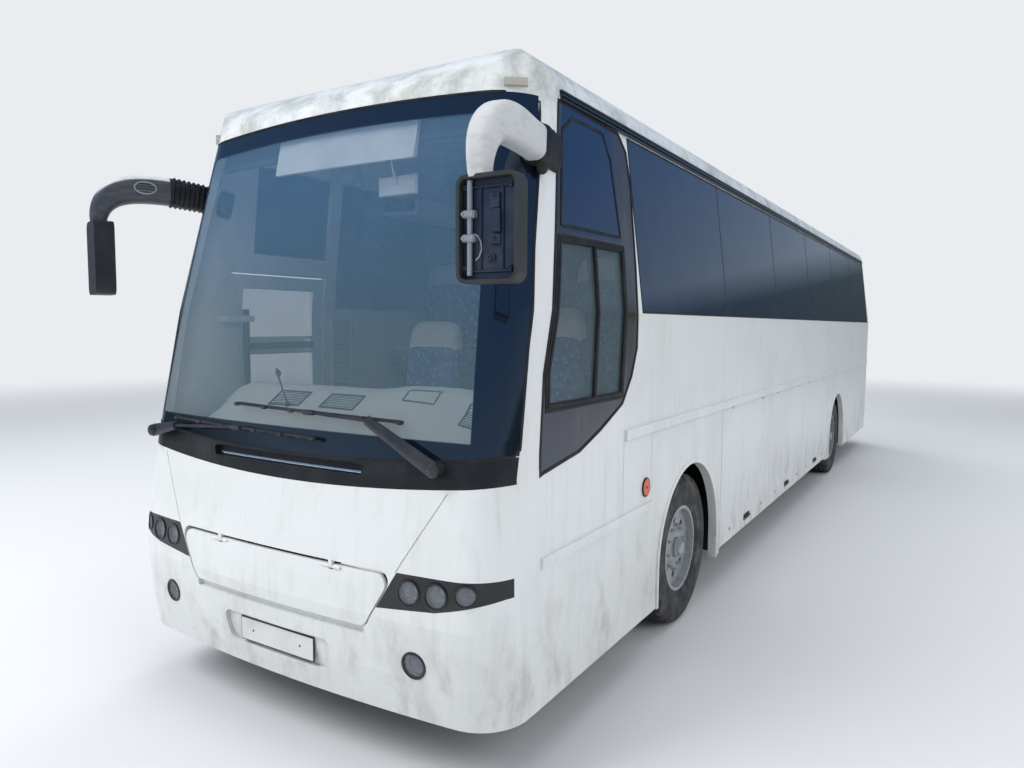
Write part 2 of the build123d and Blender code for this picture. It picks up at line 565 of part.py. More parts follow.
# Front door: the leaf moves outwards and forwards on two coupled hinges
DOOR_RIM = 75.0
DOOR_GLASS_Z = (1000.0, DOOR_Z1 - 70)
DOOR_REBATE = 30.0
TIE_T = 16.0
door_glass_box = right_box(DOOR_S0 + DOOR_RIM, DOOR_S1 - DOOR_RIM, *DOOR_GLASS_Z)
door_glass_hole = right_box(DOOR_S0 + DOOR_RIM + DOOR_REBATE, DOOR_S1 - DOOR_RIM - DOOR_REBATE,
                            DOOR_GLASS_Z[0] + DOOR_REBATE, DOOR_GLASS_Z[1] - DOOR_REBATE)
front_door_glass = GLASS_SKIN & door_glass_box
front_door_leaf = PANEL_SKIN & right_box(DOOR_S0 + GAP, DOOR_S1 - GAP, DOOR_Z0, DOOR_Z1 - GAP)
front_door_leaf -= [front_door_glass, door_glass_hole]
pin_s = DOOR_COLUMN_S + DOOR_ARM
front_door_arm = cylinder_z(DOOR_COLUMN_X, DOOR_COLUMN_S, 455, 2160, DOOR_COLUMN_R)
arm_ties = []
inside_leaf = -HALF + PANEL
for z in DOOR_ARM_Z:
    arm = span(DOOR_COLUMN_X - 14, DOOR_COLUMN_X + 14, DOOR_COLUMN_S, pin_s, z, z + DOOR_ARM_T)
    arm += cylinder_z(DOOR_COLUMN_X, pin_s, z, z + DOOR_ARM_T, 24)
    front_door_arm += arm - cylinder_z(DOOR_COLUMN_X, pin_s, z - 10, z + 50, DOOR_PIN_R + RUNNING_FIT)
    low = z - TIE_T - 6
    high = z + DOOR_ARM_T + 6
    tie = cylinder_z(DOOR_COLUMN_X, pin_s, low, high + TIE_T, DOOR_PIN_R)
    for foot in (low, high):
        tie += span(inside_leaf - 4, DOOR_COLUMN_X + TIE_T, pin_s - TIE_T, pin_s + TIE_T, foot, foot + TIE_T)
    tie += span(inside_leaf - 4, inside_leaf + 6, DOOR_S0 + 90, DOOR_S1 - 60, z - 40, z + 80)
    arm_ties.append(tie)
front_door_leaf += arm_ties

# Floors: the cabin floor, the lower cab floor, two steps up the aisle and the entry steps
AISLE_STEPS = ((1117.0, CAB_END_S - 460), (1283.0, CAB_END_S - 230))
AISLE_X = (-420.0, 180.0)
ENTRY_Z = (380.0, 665.0)
ENTRY_X = (-INSIDE, -950.0, -680.0)
ENTRY_S = (DOOR_S0 - 80, DOOR_S1 + 60)
RISER = 20.0
floor_parts = [
    span(-INSIDE, INSIDE, CAB_END_S - RISER, LENGTH - 110, FLOOR_Z - FLOOR_T, FLOOR_Z),
    span(ENTRY_X[2], INSIDE, 330, CAB_END_S, CAB_FLOOR_Z - CAB_FLOOR_T, CAB_FLOOR_Z),
    span(-INSIDE, INSIDE, CAB_END_S - RISER, CAB_END_S, CAB_FLOOR_Z - CAB_FLOOR_T, FLOOR_Z),
    span(ENTRY_X[0], ENTRY_X[1] + RISER, *ENTRY_S, ENTRY_Z[0] - CAB_FLOOR_T, ENTRY_Z[0]),
    span(ENTRY_X[1], ENTRY_X[1] + RISER, *ENTRY_S, ENTRY_Z[0] - CAB_FLOOR_T, ENTRY_Z[1]),
    span(ENTRY_X[1], ENTRY_X[2] + RISER, *ENTRY_S, ENTRY_Z[1] - CAB_FLOOR_T, ENTRY_Z[1]),
    span(ENTRY_X[2], ENTRY_X[2] + RISER, *ENTRY_S, ENTRY_Z[1] - CAB_FLOOR_T, CAB_FLOOR_Z),
    span(ENTRY_X[0] + 25, ENTRY_X[2] + RISER, ENTRY_S[1] - RISER, ENTRY_S[1], ENTRY_Z[0] - CAB_FLOOR_T, CAB_FLOOR_Z),
    span(ENTRY_X[0] + 25, ENTRY_X[2] + RISER, ENTRY_S[1] - RISER, CAB_END_S, CAB_FLOOR_Z - CAB_FLOOR_T, CAB_FLOOR_Z),
]
floor_parts += [span(*AISLE_X, s, CAB_END_S - RISER, CAB_FLOOR_Z - 10, z) for z, s in AISLE_STEPS]
floor = (Part() + floor_parts) & form(WALL)

BAY_T = 30.0
BAY_Z0 = 400.0
bay_x = INSIDE - 5
bay_parts = [span(-bay_x, bay_x, FLAP_S0, FLAP_S1, BAY_Z0, BAY_Z0 + BAY_T)]
for number in range(FLAP_COUNT + 1):
    s = FLAP_S0 + FLAP_PITCH * number
    bay_parts.append(span(-bay_x, bay_x, s - BAY_T / 2, s + BAY_T / 2, BAY_Z0, FLOOR_Z - FLOOR_T))
luggage_bays = Part() + bay_parts

# Frame: one ladder in front of the bays, one under them and one behind them
RAIL_X = (390.0, 450.0)
RAIL_H = 160.0
CROSS_W = 80.0
CROSS_IN = 15.0
FRAME_Z = (640.0, BAY_Z0 - 70, 720.0)
# Ladders: s from, s to, z from, z to, stations of the cross members
LADDERS = (
    (345.0, FLAP_S0 - BAY_T / 2, FRAME_Z[0], FRAME_Z[0] + RAIL_H, (345.0, 1750.0, FLAP_S0 - 110)),
    (FLAP_S0, FLAP_S1, FRAME_Z[1], BAY_Z0, (FLAP_S0, FLAP_S0 + 2 * FLAP_PITCH, FLAP_S1 - CROSS_W)),
    (FLAP_S1 + BAY_T / 2, LENGTH - 120.0, FRAME_Z[2], FRAME_Z[2] + RAIL_H, (FLAP_S1 + 60, 9650.0, LENGTH - 240)),
)
TOW_X = 420.0
TOW_S = (112.0, 200.0)
TOW_BACK_S = 400.0
TOW_Z = 700.0
TOW_R = 22.0
TOW_T = 24.0
TOW_W = 110.0
chassis_frame = Part()
for s0, s1, z0, z1, crosses in LADDERS:
    ladder = both(span(*RAIL_X, s0, s1, z0, z1))
    ladder += [span(-RAIL_X[0], RAIL_X[0], s, s + CROSS_W, z0 + CROSS_IN, z1 - CROSS_IN) for s in crosses]
    chassis_frame += ladder
tow_plate = span(TOW_X - TOW_W / 2, TOW_X + TOW_W / 2, TOW_S[0], TOW_BACK_S, TOW_Z - TOW_T / 2, TOW_Z + TOW_T / 2)
tow_bore = Pos(TOW_X, Y_NOSE + TOW_S[1], TOW_Z) * Cylinder(TOW_R, 2 * TOW_T)
chassis_frame = (chassis_frame + both(tow_plate)) - both(tow_bore)

HOUSING_REACH = 665.0
HOUSING_T = 8.0
HOUSING_TOP_Z = 1190.0
# Wheel housings: axle station, inner wall x
HOUSINGS = ((FRONT_AXLE_S, 490.0), (REAR_AXLE_S, 520.0))
wheel_housings = Part()
for s, depth in HOUSINGS:
    outside = span(depth, INSIDE, s - HOUSING_REACH, s + HOUSING_REACH, 330, HOUSING_TOP_Z)
    room = span(depth + HOUSING_T, HALF, s - HOUSING_REACH + HOUSING_T, s + HOUSING_REACH - HOUSING_T, 300,
                HOUSING_TOP_Z - HOUSING_T)
    axle_way = span(depth - 20, depth + 20, s - 110, s + 110, 320, 700)
    wheel_housings += both(outside - [room, axle_way])

ENGINE_S = (10300.0, 11850.0)
ENGINE_Z = (600.0, 1280.0)
engine_block = span(-RAIL_X[0], RAIL_X[0], *ENGINE_S, *ENGINE_Z)

# Front axle: a dropped beam with king pins, and the knuckles that turn on them
BEAM_Z = (380.0, 480.0)
BEAM_HALF = 60.0
BOSS_R = 55.0
BOSS_Z = (420.0, 620.0)
SPRING_X = 420.0
SPRING_R = 60.0
EAR_T = 27.0
EAR_GAP = 8.0
KNUCKLE_X = 935.0
SPINDLE_END_X = 1165.0
front_axle = span(-760, 760, FRONT_AXLE_S - BEAM_HALF, FRONT_AXLE_S + BEAM_HALF, *BEAM_Z)
end_half = cylinder_z(KINGPIN_X, FRONT_AXLE_S, *BOSS_Z, BOSS_R)
end_half += span(700, 840, FRONT_AXLE_S - BEAM_HALF + 10, FRONT_AXLE_S + BEAM_HALF - 10, 430, 560)
end_half += cylinder_z(SPRING_X, FRONT_AXLE_S, BEAM_Z[1], FRAME_Z[0], SPRING_R)
front_axle = (front_axle + both(end_half)) - both(cylinder_z(KINGPIN_X, FRONT_AXLE_S, 400, 700, KINGPIN_R))
low_ear = (BOSS_Z[0] - EAR_GAP - EAR_T, BOSS_Z[0] - EAR_GAP)
high_ear = (BOSS_Z[1] + EAR_GAP, BOSS_Z[1] + EAR_GAP + EAR_T)
knuckle = cylinder_z(KINGPIN_X, FRONT_AXLE_S, low_ear[0], high_ear[1], KINGPIN_R - RUNNING_FIT)
for z0, z1 in (low_ear, high_ear):
    knuckle += cylinder_z(KINGPIN_X, FRONT_AXLE_S, z0, z1, BOSS_R)
    knuckle += span(KINGPIN_X, KNUCKLE_X, FRONT_AXLE_S - 50, FRONT_AXLE_S + 50, z0, z1)
knuckle += span(KNUCKLE_X - 23, KNUCKLE_X, FRONT_AXLE_S - 50, FRONT_AXLE_S + 50, low_ear[0], high_ear[1])
knuckle += cylinder_x(KNUCKLE_X, SPINDLE_END_X, FRONT_AXLE_S, TYRE_R, SPINDLE_R)


def turned(points):
    """Closed profile of (across, radius) points, turned about the wheel's axis."""
    face = make_face(Polyline(*points, close=True))
    return Pos(0, Y_NOSE, TYRE_R) * revolve(face, Axis.X, 360)


# Wheels
RIM_EDGE = TYRE_W / 2 - 22
DISC_T = 14.0
HAND_HOLES = 8
HAND_HOLE_R = 26.0
HAND_HOLE_AT = 196.0
FRONT_DISH = 60.0
REAR_DISH = -110.0
INNER_DISH = 90.0
TYRE_SIDES = ((125.0, RIM_R), (142.0, 360.0), (TYRE_W / 2, 420.0), (132.0, 492.0), (106.0, TYRE_R))


def rim(dish):
    """Rim with barrel, flanges, and a disc with hand holes set off by its dish."""
    barrel = RIM_R - RIM_T
    flange = RIM_R + RIM_FLANGE
    wheel = turned(((-RIM_EDGE, flange), (-RIM_EDGE + 10, flange), (-RIM_EDGE + 14, RIM_R), (RIM_EDGE - 14, RIM_R),
                    (RIM_EDGE - 10, flange), (RIM_EDGE, flange), (RIM_EDGE, barrel), (dish + DISC_T, barrel),
                    (dish + DISC_T, 2 * HUB_R), (dish + DISC_T + 16, HUB_R + 30), (dish + DISC_T + 16, HUB_R - 8),
                    (dish, HUB_R - 8), (dish, barrel), (-RIM_EDGE, barrel)))
    centre = Pos(0, Y_NOSE, TYRE_R)
    holes = [centre * Rot(360 / HAND_HOLES * n, 0, 0) * Pos(dish, 0, HAND_HOLE_AT) * Rot(0, 90, 0)
             * Cylinder(HAND_HOLE_R, 8 * DISC_T) for n in range(HAND_HOLES)]
    return wheel - holes


tyre_outline = [(-x, r) for x, r in TYRE_SIDES] + [(x, r) for x, r in reversed(TYRE_SIDES)]
rim_outline = ((-TYRE_W, 0), (-TYRE_W, RIM_R + RIM_FLANGE), (-RIM_EDGE + 10, RIM_R + RIM_FLANGE),
               (-RIM_EDGE + 14, RIM_R), (RIM_EDGE - 14, RIM_R), (RIM_EDGE - 10, RIM_R + RIM_FLANGE),
               (TYRE_W, RIM_R + RIM_FLANGE), (TYRE_W, 0))
tyre = turned(tyre_outline) - turned(rim_outline)
front_rim = Pos(OUTER_WHEEL_X, FRONT_AXLE_S, 0) * rim(FRONT_DISH)
front_rim += cylinder_x(965, 1195, FRONT_AXLE_S, TYRE_R, HUB_R - 2)
front_rim -= cylinder_x(900, SPINDLE_END_X + 1, FRONT_AXLE_S, TYRE_R, SPINDLE_R + RUNNING_FIT)
front_tyre = Pos(OUTER_WHEEL_X, FRONT_AXLE_S, 0) * tyre
rear_rims = Pos(OUTER_WHEEL_X, REAR_AXLE_S, 0) * rim(REAR_DISH) + Pos(INNER_WHEEL_X, REAR_AXLE_S, 0) * rim(INNER_DISH)
rear_rims += cylinder_x(INNER_WHEEL_X + INNER_DISH - 30, 1190, REAR_AXLE_S, TYRE_R, HUB_R + 5)
rear_rims -= cylinder_x(700, 1100, REAR_AXLE_S, TYRE_R, SPINDLE_R + RUNNING_FIT)
rear_tyres = Pos(OUTER_WHEEL_X, REAR_AXLE_S, 0) * tyre + Pos(INNER_WHEEL_X, REAR_AXLE_S, 0) * tyre

AXLE_TUBE_R = 70.0
DIFFERENTIAL_R = 190.0
DIFFERENTIAL_HALF = 120.0
rear_axle = cylinder_x(-790, 790, REAR_AXLE_S, TYRE_R, AXLE_TUBE_R)
rear_axle += cylinder_x(-1099, 1099, REAR_AXLE_S, TYRE_R, SPINDLE_R)
rear_axle += cylinder_y(0, REAR_AXLE_S - DIFFERENTIAL_HALF, REAR_AXLE_S + DIFFERENTIAL_HALF, TYRE_R, DIFFERENTIAL_R)
rear_axle += both(cylinder_z(SPRING_X, REAR_AXLE_S, TYRE_R, FRAME_Z[2], SPRING_R))

# Dashboard with a binnacle hood, as (s, z) points
DASH = ((200.0, 1180.0), (200.0, 1440.0), (330.0, 1478.0), (520.0, 1478.0), (700.0, 1420.0), (760.0, 1320.0),
        (700.0, 1100.0), (520.0, CAB_FLOOR_Z), (330.0, CAB_FLOOR_Z))
DASH_X = (-640.0, 1200.0)
BINNACLE = ((560.0, 1380.0), (560.0, 1500.0), (640.0, 1540.0), (790.0, 1520.0), (820.0, 1380.0))
BINNACLE_X = (340.0, 900.0)
dashboard = side_prism(DASH, *DASH_X) + side_prism(BINNACLE, *BINNACLE_X)
dashboard = dashboard & form(WALL)

STEER_AT = (620.0, 930.0, 1500.0)
STEER_TILT = -35.0
STEER_R = 215.0
STEER_GRIP_R = 16.0
COLUMN_R = 28.0
COLUMN_LENGTH = 360.0
steer_place = Pos(STEER_AT[0], Y_NOSE + STEER_AT[1], STEER_AT[2]) * Rot(STEER_TILT, 0, 0)
steering_wheel = steer_place * (Torus(STEER_R, STEER_GRIP_R) + [Cylinder(50, 40), Box(2 * STEER_R, 36, 16)])
steering_wheel += steer_place * Pos(0, 0, -COLUMN_LENGTH / 2) * Cylinder(COLUMN_R, COLUMN_LENGTH)
steering_wheel = (steering_wheel - dashboard).solids().sort_by(SortBy.VOLUME)[-1]

# Seats: a cushion and a back for each place, on a common base
CUSHION_T = 120.0
CUSHION_L = 440.0
BACK_T = 110.0
BACK_LEAN = 0.18
SOFT_GAP = 0.3
SEAT_EDGE_R = 40.0
LEG_T = 40.0
LEG_IN = 70.0


def soft(points, x0, x1):
    """Rounded cushion drawn in (s, z)."""
    outline = [(Y_NOSE + s, z) for s, z in points]
    face = fillet(make_face(Polyline(*outline, close=True)).vertices(), SEAT_EDGE_R)
    return extrude(Plane.YZ.offset(x0) * face, x1 - x0, dir=(1, 0, 0))


def seat(x, s, z, width, rise, back):
    """Cushion, back and pedestal; s is the front edge, z the floor."""
    x0 = x - width / 2
    x1 = x + width / 2
    top = z + rise
    cushion = soft(((s, top - CUSHION_T), (s, top), (s + CUSHION_L, top - 15), (s + CUSHION_L, top - CUSHION_T)), x0, x1)
    s1 = s + CUSHION_L + SOFT_GAP
    lean = BACK_LEAN * back
    rear = soft(((s1, top - CUSHION_T), (s1 + lean, top + back), (s1 + lean + BACK_T, top + back),
                 (s1 + BACK_T, top - CUSHION_T)), x0, x1)
    base_top = top - CUSHION_T - SOFT_GAP
    base = span(x0 + 20, x1 - 20, s + 30, s1 + BACK_T - 10, base_top - 30, base_top)
    for leg_x in (x0 + LEG_IN, x1 - LEG_IN - LEG_T):
        base += span(leg_x, leg_x + LEG_T, s + 140, s + CUSHION_L - 60, z, base_top - 30)
    return [cushion, rear], base


# Single and double places: x, s of the front edge, floor, width, cushion height, back height
CAB_SEATS = ((620.0, 1150.0, CAB_FLOOR_Z, 480.0, 470.0, 760.0), (-200.0, 1000.0, CAB_FLOOR_Z, 440.0, 440.0, 700.0))
SEAT_ROWS = 11
SEAT_PITCH = 800.0
SEAT_S0 = 2150.0
SEAT_X = 720.0
SEAT_W = 880.0
SEAT_RISE = 430.0
SEAT_BACK = 700.0
BENCH_S = 11150.0
BENCH_PLACES = (-880.0, -440.0, 0.0, 440.0, 880.0)
BENCH_W = 436.0
soft_cab = []
soft_cabin = []
bases = []
for place in CAB_SEATS:
    cushions, base = seat(*place)
    soft_cab += cushions
    bases.append(base)
for row in range(SEAT_ROWS):
    for x in (-SEAT_X, SEAT_X):
        cushions, base = seat(x, SEAT_S0 + SEAT_PITCH * row, FLOOR_Z, SEAT_W, SEAT_RISE, SEAT_BACK)
        soft_cabin += cushions
        bases.append(base)
for x in BENCH_PLACES:
    cushions, base = seat(x, BENCH_S, FLOOR_Z, BENCH_W, SEAT_RISE, SEAT_BACK)
    soft_cabin += cushions
    bases.append(base)

# Luggage racks over the seats, as (x, z) points
RACK = ((760.0, 2930.0), (780.0, 2905.0), (HALF, 2930.0), (HALF, 2955.0), (800.0, 2935.0), (775.0, 3030.0),
        (755.0, 3030.0))
RACK_S = (2100.0, LENGTH - 700.0)
luggage_racks = both(front_prism(RACK, *RACK_S) & form(WALL))

# Mirrors on thick curved arms
# Arm stations: x, s, z, width, depth
LEFT_ARM = (
    (1160.0, 720.0, 2868.0, 120.0, 165.0),
    (1190.0, 520.0, 2885.0, 120.0, 165.0),
    (1215.0, 330.0, 2897.0, 125.0, 170.0),
    (1230.0, 160.0, 2885.0, 125.0, 165.0),
    (1240.0, 55.0, 2820.0, 118.0, 140.0),
    (1243.0, 16.0, 2725.0, 106.0, 100.0),
    (1243.0, 14.0, 2640.0, 96.0, 60.0),
)
RIGHT_ARM = (
    (-1130.0, 700.0, 2800.0, 125.0, 150.0),
    (-1205.0, 550.0, 2835.0, 125.0, 150.0),
    (-1290.0, 380.0, 2858.0, 130.0, 160.0),
    (-1370.0, 215.0, 2855.0, 130.0, 160.0),
    (-1425.0, 95.0, 2805.0, 120.0, 140.0),
    (-1448.0, 40.0, 2715.0, 106.0, 105.0),
    (-1450.0, 32.0, 2640.0, 96.0, 80.0),
)
ARM_R = 0.38
HEAD_H = (2230.0, 2650.0)
HEAD_R = 45.0
HEAD_RIM = 16.0
HEAD_RECESS = 34.0
MIRROR_T = 5.0
# Heads: x, s, width, depth, turn about the vertical, whether the back cover is missing
LEFT_HEAD = (1292.0, 18.0, 286.0, 72.0, 0.0, True)
RIGHT_HEAD = (-1430.0, 30.0, 240.0, 105.0, -20.0, False)


def mirror_arm(stations):
    """Arm lofted through rounded sections that follow its bend."""
    places = [Vector(x, Y_NOSE + s, z) for x, s, z, _, _ in stations]
    first_run = places[1] - places[0]
    across = Vector(-first_run.Y, first_run.X, 0)
    last = len(stations) - 1
    sections = []
    for n, (_, _, _, width, depth) in enumerate(stations):
        run = places[min(n + 1, last)] - places[max(n - 1, 0)]
        plane = Plane(origin=places[n], x_dir=across, z_dir=run)
        sections.append(plane * RectangleRounded(width, depth, ARM_R * min(width, depth)))
    return loft(sections) - OUTER


def mirror_head(x, s, width, depth, turn, bare):
    """Housing with the glass let into its rear face; a bare one shows its inner plate."""
    shell = fillet(Box(width, depth, HEAD_H[1] - HEAD_H[0]).edges().filter_by(Axis.Y), HEAD_R)
    glass = Box(width - 2 * HEAD_RIM, MIRROR_T, HEAD_H[1] - HEAD_H[0] - 2 * HEAD_RIM)
    glass = fillet(glass.edges().filter_by(Axis.Y), HEAD_R - HEAD_RIM)
    glass = Pos(0, depth / 2 - MIRROR_T / 2, 0) * glass
    shell -= glass
    if bare:
        recess = Box(width - 2 * HEAD_RIM, HEAD_RECESS, HEAD_H[1] - HEAD_H[0] - 2 * HEAD_RIM)
        shell -= Pos(0, -depth / 2 + HEAD_RECESS / 2, 0) * fillet(recess.edges().filter_by(Axis.Y), HEAD_R - HEAD_RIM)
    place = Pos(x, Y_NOSE + s, (HEAD_H[0] + HEAD_H[1]) / 2) * Rot(0, 0, turn)
    return place * shell, place * glass


left_arm = mirror_arm(LEFT_ARM)
right_arm = mirror_arm(RIGHT_ARM)
mirror_arms = left_arm + right_arm
left_shell, left_glass = mirror_head(*LEFT_HEAD)
right_shell, right_glass = mirror_head(*RIGHT_HEAD)
mirror_heads = (left_shell - left_arm) + (right_shell - right_arm)
mirror_glasses = left_glass + right_glass

# Wipers: pivot, elbow, end of the arm, and the blade's ends, as (x, z) points on the glass
WIPERS = (
    ((-1090.0, 1455.0), (-870.0, 1500.0), (-330.0, 1533.0), (-886.0, 1540.0), (232.0, 1522.0)),
    ((950.0, 1445.0), (565.0, 1629.0), (190.0, 1644.0), (-355.0, 1652.0), (734.0, 1631.0)),
)
PIVOT_R = 24.0
ARM_OFF = 46.0
BLADE_OFF = 26.0
ARM_W = 44.0
TIP_W = 16.0
ARM_T = 12.0
BLADE_W = 14.0
BLADE_T = 30.0


def on_screen(point, off):
    """Point at a distance in front of the windscreen."""
    x, z = point
    return Vector(x, Y_NOSE + COWL_S + SCREEN_SLOPE * (z - COWL_Z) + x * x / (2 * FRONT_BOW_R) - off, z)


def bar(a, b, width, thick):
    """Flat bar between two points, lying on the windscreen."""
    run = b - a
    outward = run.cross(Vector(0, -1, SCREEN_SLOPE)).cross(run)
    return Plane(origin=(a + b) * 0.5, x_dir=run, z_dir=outward) * Box(run.length + width / 2, width, thick)


wipers = Part()
for pivot, elbow, tip, start, end in WIPERS:
    foot = on_screen(pivot, ARM_OFF + ARM_T)
    axle = cylinder_y(pivot[0], foot.Y - Y_NOSE, foot.Y - Y_NOSE + 200, pivot[1], PIVOT_R) - OUTER
    middle = ((start[0] + end[0]) / 2, (start[1] + end[1]) / 2)
    wipers += axle + [bar(on_screen(pivot, ARM_OFF), on_screen(elbow, ARM_OFF), ARM_W, ARM_T),
                      bar(on_screen(elbow, ARM_OFF), on_screen(tip, ARM_OFF - 6), TIP_W, ARM_T),
                      bar(on_screen(start, BLADE_OFF), on_screen(middle, BLADE_OFF), BLADE_W, BLADE_T),
                      bar(on_screen(middle, BLADE_OFF), on_screen(end, BLADE_OFF), BLADE_W, BLADE_T)]

# Every piece under its name; the paired ones are mirrored to the right side
PIECES = {
    "chassis_frame": chassis_frame,
    "floor": floor,
    "luggage_bays": luggage_bays,
    "side_wall_left": side_wall_left,
    "side_wall_right": side_wall_right,
    "roof": roof,
    "roof_hatches": Part() + roof_hatches,
    "gutter_rails": gutter_rails,
    "front_shell": front_shell,
    "front_bumper": front_bumper,
    "cowl_panel": cowl_panel,
    "windscreen": windscreen,
    "body_glass": body_glass,
    "driver_window_frame": driver_window_frame,
    "driver_window_glass": driver_window_glass,
    "driver_sash_panes": driver_sash_panes,
    "rear_wall": rear_wall,
    "headlamp_panels": headlamp_panels,
    "lamp_lenses": lamp_lenses,
    "tail_lamps": tail_lamps,
    "wipers": wipers,
    "mirror_arms": mirror_arms,
    "mirror_heads": mirror_heads,
    "mirror_glasses": mirror_glasses,
    "dashboard": dashboard,
    "steering_wheel": steering_wheel,
    "cab_seats": Compound(children=soft_cab),
    "passenger_seats": Compound(children=soft_cabin),
    "seat_bases": Compound(children=bases),
    "luggage_racks": luggage_racks,
    "engine_block": engine_block,
    "wheel_housings": wheel_housings,
    "front_axle": front_axle,
    "rear_axle": rear_axle,
    "front_flap": front_flap,
    "engine_hood": engine_hood,
    "front_door_arm": front_door_arm,
    "front_door_leaf": front_door_leaf,
    "front_door_glass": front_door_glass,
}
PAIRS = {"knuckle": knuckle, "front_rim": front_rim, "front_tyre": front_tyre, "rear_rims": rear_rims,
         "rear_tyres": rear_tyres}
for number, flap in enumerate(luggage_flaps, 1):
    PAIRS["luggage_flap_" + str(number)] = flap
for name, part in PAIRS.items():
    PIECES[name + "_left"] = part
    PIECES[name + "_right"] = mirror(part, Plane.YZ)

for name, part in PIECES.items():
    solids = part.solids()
    shape = solids[0] if len(solids) == 1 else Compound(children=solids)
    shape.label = name
    export_step(shape, "parts/" + name + ".step")
    print(name, len(solids), round(sum(solid.volume for solid in solids) / 1e9, 4))
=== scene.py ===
import json
import math
import bmesh
import bpy
from mathutils import Matrix, Vector
from mathutils.bvhtree import BVHTree


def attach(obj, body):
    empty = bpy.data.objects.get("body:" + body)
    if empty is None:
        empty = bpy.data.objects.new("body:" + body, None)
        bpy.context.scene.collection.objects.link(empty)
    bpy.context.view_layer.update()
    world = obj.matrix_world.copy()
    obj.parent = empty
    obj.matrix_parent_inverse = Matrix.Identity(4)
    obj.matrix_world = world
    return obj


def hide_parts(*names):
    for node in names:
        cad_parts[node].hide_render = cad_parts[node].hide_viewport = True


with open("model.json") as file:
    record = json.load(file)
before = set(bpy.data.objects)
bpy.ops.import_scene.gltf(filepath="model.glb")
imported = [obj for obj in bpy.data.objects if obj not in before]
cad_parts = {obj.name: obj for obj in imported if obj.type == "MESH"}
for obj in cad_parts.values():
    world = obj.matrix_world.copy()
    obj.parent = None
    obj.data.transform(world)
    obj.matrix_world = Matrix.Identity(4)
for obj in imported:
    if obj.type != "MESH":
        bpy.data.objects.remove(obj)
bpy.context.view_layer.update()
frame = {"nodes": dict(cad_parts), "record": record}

print("frame loaded, nodes:", len(frame["nodes"]))

# Places are in metres. The nose faces -Y, +X is the driver's side, and s is the distance behind the nose.
bus = {"noseY": -6.15, "halfWidth": 1.275, "frontAxle": 2.55, "rearAxle": 8.90, "wheelZ": 0.52,
       "farOff": 8.0, "nearOff": 3.0}


def along(s):
    return bus["noseY"] + s


# Shader helpers


class Wire:
    # a socket that can stand in sums

    def __init__(self, recipe, socket):
        self.recipe, self.socket = recipe, socket

    def calc(self, operation, first, second=None, clamp=False):
        inputs = {0: first} if second is None else {0: first, 1: second}
        return self.recipe.add("ShaderNodeMath", {"operation": operation, "use_clamp": clamp}, inputs)

    def __add__(self, other):
        return self.calc("ADD", self, other)

    def __radd__(self, other):
        return self.calc("ADD", other, self)

    def __sub__(self, other):
        return self.calc("SUBTRACT", self, other)

    def __rsub__(self, other):
        return self.calc("SUBTRACT", other, self)

    def __mul__(self, other):
        return self.calc("MULTIPLY", self, other)

    def __rmul__(self, other):
        return self.calc("MULTIPLY", other, self)

    def __neg__(self):
        return self.calc("MULTIPLY", self, -1.0)

    def __abs__(self):
        return self.calc("ABSOLUTE", self)

    def above(self, edge):
        return self.calc("GREATER_THAN", self, edge)

    def most(self, other):
        return self.calc("MAXIMUM", self, other)

    def clip(self):
        return self.calc("ADD", self, 0.0, True)

    def wave(self):
        return self.calc("SINE", self)

    def ramp(self, low, high):
        # 0 at low and 1 at high, smooth between
        return self.recipe.add("ShaderNodeMapRange", {"interpolation_type": "SMOOTHSTEP"},
                               {0: self, 1: low, 2: high, 3: 0.0, 4: 1.0})


class Recipe:
    # one material, or the world, built node by node

    def __init__(self, name, owner=None, coordinates="Object"):
        self.owner = owner or bpy.data.materials.new(name)
        self.owner.use_nodes = True
        self.tree = self.owner.node_tree
        self.tree.nodes.clear()
        self.place = self.add("ShaderNodeTexCoord", {}, {}, coordinates)
        self.split = {}

    def add(self, kind, settings, inputs, output=0):
        node = self.tree.nodes.new(kind)
        for key, value in settings.items():
            if key == "stops":
                elements = node.color_ramp.elements
                while len(elements) < len(value):
                    elements.new(0.5)
                for element, (spot, colour) in zip(elements, value):
                    element.position, element.color = spot, colour
            else:
                setattr(node, key, value)
        for key, value in inputs.items():
            if isinstance(value, Wire):
                self.tree.links.new(value.socket, node.inputs[key])
            else:
                node.inputs[key].default_value = value
        return Wire(self, node.outputs[output]) if len(node.outputs) else node

    def axis(self, letter):
        if letter not in self.split:
            self.split[letter] = self.add("ShaderNodeSeparateXYZ", {}, {0: self.place}, letter)
        return self.split[letter]

    def stretch(self, scale):
        return self.add("ShaderNodeVectorMath", {"operation": "MULTIPLY"}, {0: self.place, 1: scale})

    def noise(self, size, detail, rough=0.5, scale=(1, 1, 1)):
        return self.add("ShaderNodeTexNoise", {}, {"Vector": self.stretch(scale), "Scale": size,
                                                  "Detail": detail, "Roughness": rough})

    def cells(self, size):
        return self.add("ShaderNodeTexVoronoi", {}, {"Vector": self.stretch((1, 1, 1)), "Scale": size})

    def mix(self, amount, first, second):
        # colours: sockets 6 and 7 take them, and output 2 gives one
        return self.add("ShaderNodeMix", {"data_type": "RGBA"}, {0: amount, 6: first, 7: second}, 2)

    def bump(self, height, strength):
        return self.add("ShaderNodeBump", {}, {"Height": height, "Strength": strength, "Distance": 0.001})

    def surface(self, **sockets):
        inputs = {name.replace("_", " "): value for name, value in sockets.items()}
        return self.add("ShaderNodeBsdfPrincipled", {}, inputs)

    def close(self, shader, kind="ShaderNodeOutputMaterial"):
        self.add(kind, {}, {"Surface": shader})
        return self.owner

    def finish(self, **sockets):
        return self.close(self.surface(**sockets))


def rgb(r, g, b):
    return (r, g, b, 1.0)


# Finishes

